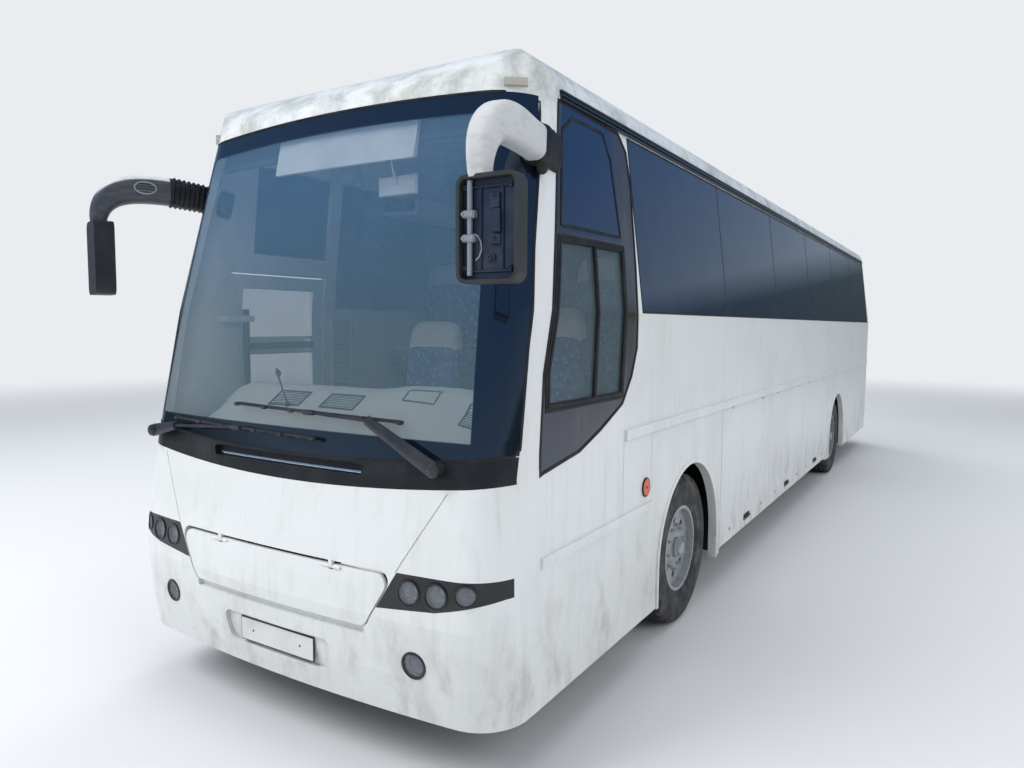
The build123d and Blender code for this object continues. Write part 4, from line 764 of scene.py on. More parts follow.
tailLook = {"x": (1.016, 1.154), "low": 0.900, "pitch": 0.150, "span": (0.008, 0.137), "count": 4,
            "rim": (0.007, 0.004, 0.006)}
shape = Shape()
for side in (-1, 1):
    for number in range(tailLook["count"]):
        low, high = (tailLook["low"] + tailLook["pitch"] * number + value for value in tailLook["span"])
        chamber = spread(boxOf(*tailLook["x"], low, high), 0.05, True)
        trace(shape, onRear, [(side * x, z) for x, z in chamber], lipProfile(*tailLook["rim"]), True)
makePiece("tailLampRims", shape, ["black_plastic"])
print("lamps done")

# Mirrors

mirrorLook = {
    "plateY": along(0.0155), "tube": (1.205, 0.011), "tubeZ": (2.632, 2.55, 2.45, 2.262),
    "neckZ": (2.70, 2.628),
    "tubeOff": 0.016, "clamps": (2.499, 2.406), "clamp": (0.060, 0.032, 0.030), "clampOff": 0.018,
    "bolt": ((0, 0.006), (0.004, 0.006), (0.005, 0.004)), "boltX": 0.023, "boltOff": 0.034,
    "coil": (0.0135, 0.002), "coilZ": (-0.006, 0.0, 0.006),
    # x, off the plate, z along the loose lead
    "lead": ((1.220, 0.010, 2.425), (1.245, 0.020, 2.415), (1.262, 0.022, 2.390), (1.264, 0.020, 2.360),
             (1.252, 0.018, 2.335), (1.230, 0.010, 2.322)), "leadR": 0.0028,
    # x, z, width, height and depth of the ribs and bosses
    "ribs": ((1.292, 2.602, 0.210, 0.012, 0.010), (1.292, 2.278, 0.210, 0.012, 0.010),
             (1.250, 2.440, 0.010, 0.330, 0.010), (1.352, 2.440, 0.010, 0.330, 0.010),
             (1.320, 2.545, 0.044, 0.060, 0.018), (1.330, 2.470, 0.036, 0.090, 0.022),
             (1.322, 2.400, 0.050, 0.040, 0.016), (1.300, 2.330, 0.036, 0.030, 0.012)),
    "sockets": ((1.322, 2.560), (1.330, 2.500), (1.330, 2.446), (1.318, 2.402), (1.395, 2.60), (1.395, 2.29),
                (1.186, 2.60), (1.186, 2.29), (1.300, 2.330)),
    "socket": ((0, 0.009), (0.020, 0.009), (0.022, 0.007), (0.022, 0.004), (0.016, 0.003)),
    "plate": (1.292, 2.440, 0.250, 0.384, 0.003),
}


def onPlate(x, off, z):
    # a place in front of the left mirror's bare inner plate
    return Vector((x, mirrorLook["plateY"] - off, z))


shape = Shape()
tubeX, tubeR = mirrorLook["tube"]
shape.sweep([onPlate(tubeX, mirrorLook["tubeOff"], z) for z in mirrorLook["tubeZ"]],
            roundProfile(tubeR, 20), mark=1)
shape.sweep([onPlate(tubeX, mirrorLook["tubeOff"], z) for z in mirrorLook["neckZ"]],
            roundProfile(tubeR * 1.25, 20))
for z in mirrorLook["clamps"]:
    shape.block(onPlate(tubeX, mirrorLook["clampOff"], z), mirrorLook["clamp"], edge=0.005, mark=1)
    for shift in (-mirrorLook["boltX"], mirrorLook["boltX"]):
        shape.lathe(onPlate(tubeX + shift, mirrorLook["boltOff"], z), (0, -1, 0), mirrorLook["bolt"], 6, 1)
    coilR, wireR = mirrorLook["coil"]
    for rise in mirrorLook["coilZ"]:
        shape.sweep([onPlate(tubeX + coilR * math.cos(t),
                             mirrorLook["tubeOff"] - coilR * math.sin(t), z + rise)
                     for t in turnsOf(20)], roundProfile(wireR, 6), loop=True, mark=1)
shape.sweep([onPlate(*place) for place in mirrorLook["lead"]], roundProfile(mirrorLook["leadR"], 8), mark=1)
for x, z, w, h, d in mirrorLook["ribs"]:
    shape.block(onPlate(x, d / 2 + 0.001, z), (w, d, h), edge=0.003)
for x, z in mirrorLook["sockets"]:
    shape.lathe(onPlate(x, 0.002, z), (0, -1, 0), mirrorLook["socket"], 14)
x, z, w, h, d = mirrorLook["plate"]
shape.block(onPlate(x, 0.001, z), (w, d, h), edge=0.001)
makePiece("leftMirrorInside", shape, ["blueBlack", "clampGrey"])

armLook = {
    # x, s, z, width, depth along each arm
    "left": ((1.160, 0.720, 2.868, 0.120, 0.165), (1.190, 0.520, 2.885, 0.120, 0.165),
             (1.215, 0.330, 2.897, 0.125, 0.170), (1.230, 0.160, 2.885, 0.125, 0.165),
             (1.240, 0.055, 2.820, 0.118, 0.140), (1.243, 0.016, 2.725, 0.106, 0.100)),
    "right": ((-1.130, 0.700, 2.800, 0.125, 0.150), (-1.205, 0.550, 2.835, 0.125, 0.150),
              (-1.290, 0.380, 2.858, 0.130, 0.160), (-1.370, 0.215, 2.855, 0.130, 0.160),
              (-1.425, 0.095, 2.805, 0.120, 0.140), (-1.448, 0.040, 2.715, 0.106, 0.105)),
    "squareness": 3.6, "sides": 28,
    # how far each ring of the sleeve and of the bellows stands off the arm
    "sleeve": (0.008, 0.010, 0.006, 0.010, 0.006, 0.010, 0.008, 0.002), "sleeveEnds": (0.05, 1.02),
    "fold": (0.001, 0.010, 0.008, 0.001), "folds": 14, "bellowsEnds": (0.0, 2.0),
    "plug": ((-0.03, 0.024), (0.010, 0.026), (0.030, 0.024), (0.040, 0.016), (0.044, 0.004)),
    "plugAt": (1.205, along(0.560), 2.792), "plugWay": (0.0, 0.25, -1),
}


def armRings(stations, ends, lifts):
    # rings round an arm between two places counted in stations, each lifted off it
    spots = [Vector((x, along(s), z)) for x, s, z, _, _ in stations]
    flat = spots[1] - spots[0]
    power = armLook["squareness"]
    found = []
    for share, lift in zip(steps(*ends, len(lifts) - 1), lifts):
        index = min(int(share), len(spots) - 2)
        part = share - index
        run = (spots[index + 1] - spots[index]).normalized()
        across = Vector((-flat.y, flat.x, 0)).normalized()
        across = (across - run * across.dot(run)).normalized()
        up = run.cross(across)
        w, d = (a * (1 - part) / 2 + b * part / 2 + lift
                for a, b in zip(stations[index][3:], stations[index + 1][3:]))
        ring = []
        for t in turnsOf(armLook["sides"]):
            c, n = math.cos(t), math.sin(t)
            reach = 1 / (abs(c) ** power + abs(n) ** power) ** (1 / power)
            spot = spots[index].lerp(spots[index + 1], part)
            ring.append(spot + across * c * reach * w + up * n * reach * d)
        found.append(ring)
    return found


sleeve = Shape()
sleeve.skin(armRings(armLook["left"], armLook["sleeveEnds"], armLook["sleeve"]))
sleeve.lathe(armLook["plugAt"], armLook["plugWay"], armLook["plug"], 24)
makePiece("leftArmSleeve", sleeve, ["gasket"])
bellows = Shape()
bellows.skin(armRings(armLook["right"], armLook["bellowsEnds"],
                      armLook["fold"] * armLook["folds"] + (0.001,)))
makePiece("rightArmBellows", bellows, ["gasket"])

# oval lens on the forward side of the right arm
lensLook = {
    "centre": (-1.345, along(0.255), 2.862), "half": (0.058, 0.034), "facing": (0.90, -0.44, 0.0),
    "rimR": 0.0045,
    # share of the oval and lift off the arm, from the edge to the middle
    "dome": ((1.0, 0.001), (0.8, 0.004), (0.5, 0.007), (0.2, 0.008), (0.02, 0.008)),
}
armTree = treeOf("mirror_arms")
facing = Vector(lensLook["facing"]).normalized()
alongArm = Vector((-facing.y, facing.x, 0))


def onArm(share, t):
    wide, tall = (half * share for half in lensLook["half"])
    shift = alongArm * wide * math.cos(t) + Vector((0, 0, tall * math.sin(t)))
    return cast(armTree, Vector(lensLook["centre"]) + facing + shift, -facing)


shape = Shape()
trace(shape, onArm, [(1.0, t) for t in turnsOf(36)], roundProfile(lensLook["rimR"], 8), True, 1)
shape.skin([[spot + normal * lift for spot, normal in (onArm(share, t) for t in turnsOf(36))]
            for share, lift in lensLook["dome"]])
makePiece("rightArmLens", shape, ["armLens", "clampGrey"])
print("mirrors done")

# Front plate and the locks of the flaps

plateLook = {
    "centre": (0.0, 0.500), "size": (0.520, 0.003, 0.112), "rim": (0.532, 0.008, 0.124),
    "off": 0.010, "rimOff": 0.006, "screws": (-0.17, 0.17), "screwOff": 0.0112,
    "screw": ((0, 0.006), (0.001, 0.006), (0.002, 0.004)),
}
shape = Shape()
spot, _ = onFront(*plateLook["centre"])
shape.block(spot - Vector((0, plateLook["off"], 0)), plateLook["size"], edge=0.001)
shape.block(spot - Vector((0, plateLook["rimOff"], 0)), plateLook["rim"], edge=0.002, mark=1)
for x in plateLook["screws"]:
    shape.lathe(spot + Vector((x, -plateLook["screwOff"], 0)), (0, -1, 0), plateLook["screw"], 14, 1)
makePiece("blankPlate", shape, ["blank", "black_plastic"])

lockLook = {
    # (along, share of the radius)
    "radius": 0.017, "barrel": ((-0.004, 1.0), (0.002, 1.0), (0.0035, 0.85), (0.0035, 0.55), (0.001, 0.5),
                                (0.001, 0.12)),
    "firstS": 3.285, "pitch": 1.6, "reach": 0.52, "z": 0.430, "handleZ": 0.425,
    "plate": (0.010, 0.180, 0.050),
    # along, off the flap and up, of the pull
    "pull": ((-0.070, 0.004, 0), (-0.055, 0.018, 0.004), (0.055, 0.018, 0.004), (0.070, 0.004, 0)),
    "pullR": 0.006,
    "hoodX": (-0.70, 0.70), "hoodZ": 0.50, "hoodPull": (0.0, 0.52), "hoodPlate": (0.220, 0.012, 0.060),
}


def lockAt(shape, spot, normal):
    radius = lockLook["radius"]
    shape.lathe(spot, normal, [(a, radius * share) for a, share in lockLook["barrel"]], 24)
    shape.block(spot + normal * 0.001, (radius * 0.5, radius * 0.2, radius * 0.5), edge=0.0006)


for side, word in ((1, "left"), (-1, "right")):
    for number in (1, 2, 3):
        shape = Shape()
        middle = lockLook["firstS"] + lockLook["pitch"] * (number - 0.5)
        for shift in (-lockLook["reach"], lockLook["reach"]):
            lockAt(shape, *onSide(middle + shift, lockLook["z"], side))
        spot, normal = onSide(middle, lockLook["handleZ"], side)
        shape.block(spot + normal * 0.002, lockLook["plate"], edge=0.004, mark=1)
        shape.sweep([spot + normal * off + Vector((0, y, z)) for y, off, z in lockLook["pull"]],
                    roundProfile(lockLook["pullR"], 10), mark=1)
        makePiece("flapLocks." + word + str(number), shape, ["clampGrey", "black_plastic"],
                  "flap_" + str(number) + "_" + word)
shape = Shape()
for x in lockLook["hoodX"]:
    lockAt(shape, *onRear(x, lockLook["hoodZ"]))
spot, normal = onRear(*lockLook["hoodPull"])
shape.block(spot + normal * 0.004, lockLook["hoodPlate"], edge=0.005, mark=1)
makePiece("hoodLocks", shape, ["clampGrey", "black_plastic"], "engine_hood")
print("plate and locks done")

# Wheels

tyreLook = {
    # (across, radius) from the bead to the shoulder
    "edge": ((0.112, 0.288), (0.124, 0.296), (0.130, 0.312), (0.134, 0.330), (0.1365, 0.334), (0.137, 0.350),
             (0.1405, 0.366), (0.1425, 0.390), (0.1445, 0.400), (0.145, 0.418), (0.1440, 0.440),
             (0.1405, 0.462), (0.1420, 0.466), (0.1400, 0.474), (0.1350, 0.484), (0.130, 0.497),
             (0.122, 0.508), (0.111, 0.5155)),
    "grooves": (0.078, 0.038), "groove": (0.0075, 0.0045), "crown": 0.520, "bow": 0.003, "half": 0.11,
    "depth": 0.013, "count": 216,
    # bands across, least radius, steps from gap to gap and depth of the shoulder's and ribs' gaps
    "gaps": ((((0.084, 1),), 0.496, 6, 0.010), (((-1, 0.031), (0.046, 0.072)), 0.512, 4, 0.005)),
}


def treadProfile():
    half = list(tyreLook["edge"])
    wide, slim = tyreLook["groove"]
    for groove in tyreLook["grooves"]:
        top = tyreLook["crown"] - tyreLook["bow"] * (groove / tyreLook["half"]) ** 2
        deep = top - tyreLook["depth"]
        half += [(groove + wide, top), (groove + slim, deep), (groove - slim, deep), (groove - wide, top)]
    return half + [(-a, r) for a, r in reversed(half)]


def treadCut(a, r, step):
    # how deep the gap is here, with the gaps of the two halves shifted against each other
    for bands, least, every, deep in tyreLook["gaps"]:
        banded = any(low < abs(a) < high for low, high in bands)
        if banded and r > least and step % every == (0 if a > 0 else every // 2):
            return deep
    return 0.0


def wheelSpot(x, s, radius, t):
    return Vector((x, along(s) + radius * math.cos(t), bus["wheelZ"] + radius * math.sin(t)))


wheelTable = (
    # body, side, station, middles of its tyres, node it stands for,
    # face of the disc, end of the hub, hub's radius
    ("front_wheel_left", 1, bus["frontAxle"], (1.090,), "front_tyre_left", 1.164, 1.195, 0.068),
    ("front_wheel_right", -1, bus["frontAxle"], (1.090,), "front_tyre_right", 1.164, 1.195, 0.068),
    ("rear_wheels_left", 1, bus["rearAxle"], (1.090, 0.764), "rear_tyres_left", 0.994, 1.190, 0.075),
    ("rear_wheels_right", -1, bus["rearAxle"], (1.090, 0.764), "rear_tyres_right", 0.994, 1.190, 0.075),
)
wheelLook = {
    "nutRing": 0.152, "nuts": 10,
    # (along, radius) profiles with how many sides each has
    "nut": ((((0, 0.0165), (0.004, 0.0165), (0.0045, 0.014)), 20),
            (((0.004, 0.0140), (0.024, 0.0140), (0.027, 0.011)), 6),
            (((0.024, 0.0080), (0.036, 0.0080), (0.038, 0.006)), 12)),
    "flange": 0.004, "cap": ((0.009, 0.80), (0.028, 0.74), (0.034, 0.66), (0.036, 0.45)),
    "capTip": (0.036, 0.004),
    "bolts": 8, "boltRing": 0.90, "bolt": ((-0.002, 0.0055), (0.004, 0.0055), (0.005, 0.004)),
    # off the disc and inwards, of the valve's stem
    "stemAt": 0.235, "stem": ((0.004, 0.0), (0.022, 0.006), (0.046, 0.022)), "stemR": 0.0045,
}
for body, side, station, middles, node, face, hub, r in wheelTable:
    shape = Shape()
    turns = turnsOf(tyreLook["count"])
    tread = treadProfile()
    for middle in middles:
        shape.skin([[wheelSpot(side * (middle + a), station, radius - treadCut(a, radius, step), t)
                     for a, radius in tread] for step, t in enumerate(turns)], 0, True)
    tyrePiece = makePiece("treadedTyre." + node, shape, ["tyre"], body, 30.0)
    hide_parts(node)
    shape = Shape()
    outward = (side, 0, 0)
    for i in range(wheelLook["nuts"]):
        t = 2 * math.pi * (i + 0.25) / wheelLook["nuts"]
        for profile, sides in wheelLook["nut"]:
            shape.lathe(wheelSpot(side * (face - 0.001), station, wheelLook["nutRing"], t), outward,
                        profile, sides)
    rim = r + wheelLook["flange"]
    cap = [(-0.003, rim), (0.006, rim), (0.009, r)] + [(a, r * share) for a, share in wheelLook["cap"]]
    shape.lathe(wheelSpot(side * hub, station, 0, 0), outward, cap + [wheelLook["capTip"]], 40)
    for t in turnsOf(wheelLook["bolts"]):
        spot = wheelSpot(side * (hub + 0.009), station, r * wheelLook["boltRing"], t)
        shape.lathe(spot, outward, wheelLook["bolt"], 6)
    shape.sweep([wheelSpot(side * (face + off), station, wheelLook["stemAt"] - inward, 0)
                 for off, inward in wheelLook["stem"]], roundProfile(wheelLook["stemR"], 8))
    makePiece("wheelNuts." + body, shape, ["clampGrey"], body)
print("wheels done")

# Seats

seatLook = {
    "cushionT": 0.120, "cushionL": 0.440, "backT": 0.110, "lean": 0.18, "gap": 0.0003,
    # x, s of the front edge, floor, width, cushion height, back height
    "cab": ((0.620, 1.150, 0.950, 0.480, 0.470, 0.760), (-0.200, 1.000, 0.950, 0.440, 0.440, 0.700)),
    "rows": 11, "pitch": 0.800, "firstS": 2.150, "xs": (-0.940, -0.500, 0.500, 0.940), "width": 0.436,
    "rise": 0.430, "back": 0.700, "floor": 1.450, "benchS": 11.150,
    "benchXs": (-0.880, -0.440, 0.0, 0.440, 0.880),
    # crown, sewn channels, pull between the corners and swell of the headrest
    "cushionForm": (0.010, (-0.35, 0.15, 0.60), 0.03, 0.0),
    "backForm": (0.008, (-0.45, -0.12, 0.22, 0.55), 0.03, 0.020),
    "grid": (12, 14, 3), "roundness": 7.0, "seam": (0.006, 0.008), "bolster": (0.005, 0.012, 0.70),
    # heights, from -1 to 1, where the headrest swells, its bolsters end and its cover begins
    "swellFrom": 0.5, "neck": 0.55, "coverFrom": 0.58, "headTaper": 0.16,
}


def padGrid(shape, place, size, form):
    # rounded cushion: size is (width, depth, thick), its thick side is crowned and sewn in channels
    crown, channels, pull, headrest = form
    nu, nv, nw = seatLook["grid"]
    w, d, h = (value / 2 for value in size)
    power, neck = seatLook["roundness"], seatLook["neck"]
    seamDeep, seamWide = seatLook["seam"]
    sideDeep, sideWide, sideAt = seatLook["bolster"]
    spots, heights, index, faces = [], [], {}, []

    def corner(i, j, k):
        if (i, j, k) in index:
            return index[i, j, k]
        u, v, n = 2 * i / nu - 1, 2 * j / nv - 1, 2 * k / nw - 1
        reach = (abs(u) ** power + abs(v) ** power + abs(n) ** power) ** (1 / power)
        u, v, n = u / reach, v / reach, n / reach
        if n > 0:
            sew = sum(math.exp(-((v - line) * d / seamWide) ** 2) for line in channels)
            sides = math.exp(-((abs(u) - sideAt) * w / sideWide) ** 2) * (v < neck)
            swell = headrest * max(0.0, v - seatLook["swellFrom"]) * (1 - u * u)
            rise = crown * (1 - u * u) * (1 - v * v) + swell
            n += (rise - seamDeep * sew - sideDeep * sides) / h * n
        u *= 1 - pull * (1 - v * v) * 0.5 - seatLook["headTaper"] * max(0.0, v - neck) * (headrest > 0)
        index[i, j, k] = len(spots)
        spots.append(place(u * w, v * d, n * h))
        heights.append(v)
        return index[i, j, k]

    def quad(*keys):
        faces.append(tuple(corner(*key) for key in keys))

    for i in range(nu):
        for j in range(nv):
            quad((i, j, nw), (i + 1, j, nw), (i + 1, j + 1, nw), (i, j + 1, nw))
            quad((i, j, 0), (i, j + 1, 0), (i + 1, j + 1, 0), (i + 1, j, 0))
    for k in range(nw):
        for i in range(nu):
            quad((i, 0, k), (i + 1, 0, k), (i + 1, 0, k + 1), (i, 0, k + 1))
            quad((i, nv, k), (i, nv, k + 1), (i + 1, nv, k + 1), (i + 1, nv, k))
        for j in range(nv):
            quad((0, j, k), (0, j, k + 1), (0, j + 1, k + 1), (0, j + 1, k))
            quad((nu, j, k), (nu, j + 1, k), (nu, j + 1, k + 1), (nu, j, k + 1))
    covered = [headrest > 0 and sum(heights[i] for i in face) / 4 > seatLook["coverFrom"] for face in faces]
    shape.add(spots, faces, [int(value) for value in covered])


def addSeat(shape, x, s, floor, width, rise, back):
    # the forms stay a few millimetres inside the solids that they stand for
    top = floor + rise
    thick, length = seatLook["cushionT"], seatLook["cushionL"]
    padGrid(shape, lambda u, v, n: Vector((x + u, along(s + length / 2) + v, top - 0.008 - thick / 2 + n)),
            (width - 0.006, length - 0.004, thick - 0.012), seatLook["cushionForm"])
    slope, tall = seatLook["lean"] * back, back + thick
    run = Vector((0, slope, tall)).normalized()
    out = Vector((0, -run.z, run.y))
    middleS = s + length + seatLook["gap"] + (slope + seatLook["backT"]) / 2
    centre = Vector((x, along(middleS), top - thick + tall / 2))
    padGrid(shape, lambda u, v, n: centre + Vector((u, 0, 0)) + run * v + out * n,
            (width - 0.006, math.hypot(slope, tall) - 0.006, seatLook["backT"] - 0.016),
            seatLook["backForm"])


cabSeats = Shape()
for place in seatLook["cab"]:
    addSeat(cabSeats, *place)
cabinSeats = Shape()
cabinSize = [seatLook[key] for key in ("floor", "width", "rise", "back")]
for row in range(seatLook["rows"]):
    for x in seatLook["xs"]:
        addSeat(cabinSeats, x, seatLook["firstS"] + seatLook["pitch"] * row, *cabinSize)
for x in seatLook["benchXs"]:
    addSeat(cabinSeats, x, seatLook["benchS"], *cabinSize)
cabPads = makePiece("cabSeatPads", cabSeats, ["seat_fabric", "cover"], sharp=70.0)
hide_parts("cab_seats")
cabinPads = makePiece("passengerSeatPads", cabinSeats, ["seat_fabric", "cover"],
                      sharp=70.0)
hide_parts("passenger_seats")
print("seats done")

# Inside the front

wheelRim = {
    "hub": (0.620, along(0.930), 1.500), "tilt": -35.0, "rim": 0.215, "gripR": 0.0172,
    "spokes": (0, 60, 180, 240),
    # out from the hub and below its plane, along a spoke
    "spoke": ((0.045, 0.0), (0.12, 0.006), (0.208, 0.0)),
    "spokeEdge": ((-0.016, -0.006), (-0.016, 0.006), (0.016, 0.006), (0.016, -0.006)),
    "pad": ((0.010, 0.060), (0.024, 0.060), (0.032, 0.050), (0.035, 0.030), (0.036, 0.003)),
}
tilt = Matrix.Rotation(math.radians(wheelRim["tilt"]), 3, "X")
hubSpot, upright = Vector(wheelRim["hub"]), tilt @ Vector((0, 0, 1))


def wheelWay(t):
    return tilt @ Vector((math.cos(t), math.sin(t), 0))


shape = Shape()
for angle in wheelRim["spokes"]:
    way = wheelWay(math.radians(angle))
    shape.sweep([hubSpot + way * reach - upright * low for reach, low in wheelRim["spoke"]],
                wheelRim["spokeEdge"], [upright] * len(wheelRim["spoke"]))
shape.lathe(hubSpot, upright, wheelRim["pad"])
shape.sweep([hubSpot + wheelWay(t) * wheelRim["rim"] for t in turnsOf(48)],
            roundProfile(wheelRim["gripR"], 12), loop=True)
makePiece("steeringTrim", shape, ["black_plastic"])

# moulded top that rises from the dash towards the screen
topLook = {
    # (s, z) round it at full height
    "outline": ((0.215, 1.430), (0.215, 1.490), (0.300, 1.560), (0.420, 1.640), (0.520, 1.700),
                (0.600, 1.722), (0.665, 1.712), (0.700, 1.670), (0.712, 1.600), (0.712, 1.300),
                (0.560, 1.250), (0.330, 1.400)),
    "x": (-1.000, 1.130), "steps": 48, "shoulder": 0.22, "cornerShare": 0.72, "footZ": 1.30,
    "sweepBack": 0.10,
    # middle, half width and height of the hump over the gauges, and where it begins
    "hump": (0.600, 0.300, 0.030), "humpZ": 1.5, "humpRise": 0.22,
}


def topRing(x):
    # full height in the middle, falling to the corners
    x0, x1 = topLook["x"]
    edge = max(0.0, min(1.0, (x - x0) / topLook["shoulder"], (x1 - x) / topLook["shoulder"]))
    share = topLook["cornerShare"] + (1 - topLook["cornerShare"]) * math.sin(edge * math.pi / 2)
    middle, half, rise = topLook["hump"]
    hump = math.exp(-((x - middle) / half) ** 4) * rise
    back = topLook["sweepBack"] * (x / 1.2) ** 2
    foot = topLook["footZ"]
    ring = []
    for s, z in topLook["outline"]:
        over = max(0.0, (z - topLook["humpZ"]) / topLook["humpRise"])
        ring.append(Vector((x, along(s + back * (s < 0.5)), foot + (z - foot) * share + hump * over)))
    return ring


shape = Shape()
shape.skin([topRing(x) for x in steps(*topLook["x"], topLook["steps"])])
dashTop = makePiece("dashTop", shape, ["dash_grey"], sharp=32.0)
topTree = BVHTree.FromPolygons(*meshParts(dashTop.data))


def onTop(x, s):
    return cast(topTree, (x, along(s), bus["nearOff"]), (0, 0, -1))


dashLook = {
    # middle and width of each vent, and the s of its front and back edges
    "vents": ((0.06, 0.24), (-0.34, 0.24), (0.94, 0.16)), "ventS": (0.400, 0.500), "slats": 8,
    "ventRim": (0.006, 0.005), "slat": (0.0022, 0.004), "lid": boxOf(0.460, 0.660, 0.470, 0.540),
    "lidRim": (0.005, 0.004),
    # x and radius of each gauge, with (along, share of the radius) of its bezel
    "gauges": ((0.50, 0.036), (0.60, 0.052), (0.71, 0.052), (0.80, 0.036)), "gaugeAt": (0.705, 1.585),
    "bezel": ((-0.01, 1.0), (0.012, 1.0), (0.014, 0.92), (0.006, 0.88)), "dial": (0.006, 0.002),
    "switches": 9, "firstSwitch": -0.52, "switchPitch": 0.085, "switchAt": (0.716, 1.600),
    "switch": (0.050, 0.018, 0.028),
}
shape = Shape()
front, back = dashLook["ventS"]
for x, width in dashLook["vents"]:
    x0, x1 = x - width / 2, x + width / 2
    trace(shape, onTop, spread(boxOf(x0, x1, front, back), 0.03, True),
          lipProfile(*dashLook["ventRim"]), True)
    for s in steps(front, back, dashLook["slats"])[1:-1]:
        trace(shape, onTop, [(across, s) for across in steps(x0, x1, 6)], lipProfile(*dashLook["slat"]))
trace(shape, onTop, spread(dashLook["lid"], 0.02, True), lipProfile(*dashLook["lidRim"]), True)
for x, radius in dashLook["gauges"]:
    s, z = dashLook["gaugeAt"]
    bezel = [(a, radius * share) for a, share in dashLook["bezel"]]
    shape.lathe((x, along(s), z), (0, 1, 0.25), bezel + [dashLook["dial"]])
for i in range(dashLook["switches"]):
    s, z = dashLook["switchAt"]
    spot = (dashLook["firstSwitch"] + dashLook["switchPitch"] * i, along(s), z)
    shape.block(spot, dashLook["switch"], edge=0.004)
makePiece("dashDetails", shape, ["black_plastic"])

# bent microphone stalk
stalkLook = {
    "foot": (-0.30, 0.40), "rise": 0.20, "bend": 0.06, "lean": 0.02, "radius": 0.0045,
    "head": ((-0.004, 0.006), (0.004, 0.013), (0.020, 0.015), (0.034, 0.012), (0.040, 0.003)),
    "base": ((-0.004, 0.020), (0.006, 0.020), (0.012, 0.010), (0.014, 0.005)),
}
spot, _ = onTop(*stalkLook["foot"])
stalk = [spot + Vector((-stalkLook["bend"] * math.sin(share * 2.4) - stalkLook["lean"] * share,
                        -stalkLook["lean"] * share, stalkLook["rise"] * math.sin(share * 1.9)))
         for share in steps(0.0, 1.0, 14)]
shape = Shape()
shape.sweep(stalk, roundProfile(stalkLook["radius"]))
shape.lathe(stalk[-1], stalk[-1] - stalk[-2], stalkLook["head"], 20)
shape.lathe(spot, (0, 0, 1), stalkLook["base"], 20)
makePiece("microphoneStalk", shape, ["black_plastic"])

# blind at the top of the screen, and the blank route box in front of it
blindLook = {
    "x": (-0.98, 0.98), "z": (2.985, 3.085), "rollerR": 0.020, "rollerDepth": 0.075, "depth": 0.062,
    "thick": 0.004,
    "boxX": (-0.42, 0.55), "boxZ": (2.880, 3.070), "boxDepth": 0.030, "boxThick": 0.026,
}


def behindGlass(x, z, depth):
    spot, _ = cast(screenTree, (x, -bus["farOff"], z), (0, 1, 0))
    return spot + Vector((0, depth, 0))


def glassSheet(shape, xs, heights, depth, thick):
    # sheet that follows the back of the windscreen
    rings = []
    for x in xs:
        low, high = (behindGlass(x, z, depth) for z in heights)
        inward = Vector((0, thick, 0))
        rings.append([low, high, high + inward, low + inward])
    shape.skin(rings)


shape = Shape()
columns = steps(*blindLook["x"], 40)
for z in blindLook["z"]:
    shape.sweep([behindGlass(x, z, blindLook["rollerDepth"]) for x in columns],
                roundProfile(blindLook["rollerR"], 12))
glassSheet(shape, columns, blindLook["z"], blindLook["depth"], blindLook["thick"])
makePiece("screenBlind", shape, ["blind"])
shape = Shape()
glassSheet(shape, steps(*blindLook["boxX"], 20), blindLook["boxZ"], blindLook["boxDepth"],
           blindLook["boxThick"])
makePiece("blankRouteBox", shape, ["blank"])

# louvred panel on the wall behind the front door
louvreLook = {
    "s": (1.640, 1.840), "z": (1.560, 2.090), "x": -1.216, "count": 16, "rail": 0.018, "thick": 0.022,
    "slat": (0.004, 0.190, 0.030), "slant": 35.0,
}
shape = Shape()
(front, back), (low, high) = louvreLook["s"], louvreLook["z"]
rail, thick, middle = louvreLook["rail"], louvreLook["thick"], along((front + back) / 2)
for s in (front, back):
    shape.block((louvreLook["x"], along(s), (low + high) / 2), (thick, rail, high - low), edge=0.004)
for z in (low, high):
    shape.block((louvreLook["x"], middle, z), (thick, back - front + rail, rail), edge=0.004)
slant = Matrix.Rotation(math.radians(louvreLook["slant"]), 3, "Y")
for i in range(louvreLook["count"]):
    z = low + (high - low) * (i + 0.5) / louvreLook["count"]
    shape.block((louvreLook["x"], middle, z), louvreLook["slat"], slant, 0.001)
makePiece("wallLouvres", shape, ["blank"])

# inner mirror on its arm at the top of the screen
innerLook = {"foot": (0.30, 3.02, 0.06), "drop": (0.05, 0.06), "z": 2.78, "armR": 0.007,
             "sag": 0.02, "head": (0.260, 0.022, 0.110), "headBack": 0.012}
foot = behindGlass(*innerLook["foot"])
hang = Vector((foot.x + innerLook["drop"][0], foot.y + innerLook["drop"][1], innerLook["z"]))
shape = Shape()
shape.sweep([foot, foot.lerp(hang, 0.5) + Vector((0, innerLook["sag"], 0)), hang],
            roundProfile(innerLook["armR"]))
shape.block(hang + Vector((0, innerLook["headBack"], 0)), innerLook["head"], edge=0.010)
makePiece("innerMirror", shape, ["blank"])
print("cab details done")

# Roof

roofLook = {"hatches": (3.100, 8.500), "half": 0.356, "seal": (0.014, 0.010)}
roofTree = treeOf("roof")


def onRoof(x, s):
    return cast(roofTree, (x, along(s), bus["farOff"]), (0, 0, -1))


shape = Shape()
for s in roofLook["hatches"]:
    half = roofLook["half"]
    trace(shape, onRoof, spread(boxOf(-half, half, s - half, s + half), 0.1, True),
          lipProfile(*roofLook["seal"]), True)
makePiece("hatchSeals", shape, ["gasket"])
print("roof done")

# Floor, light and camera

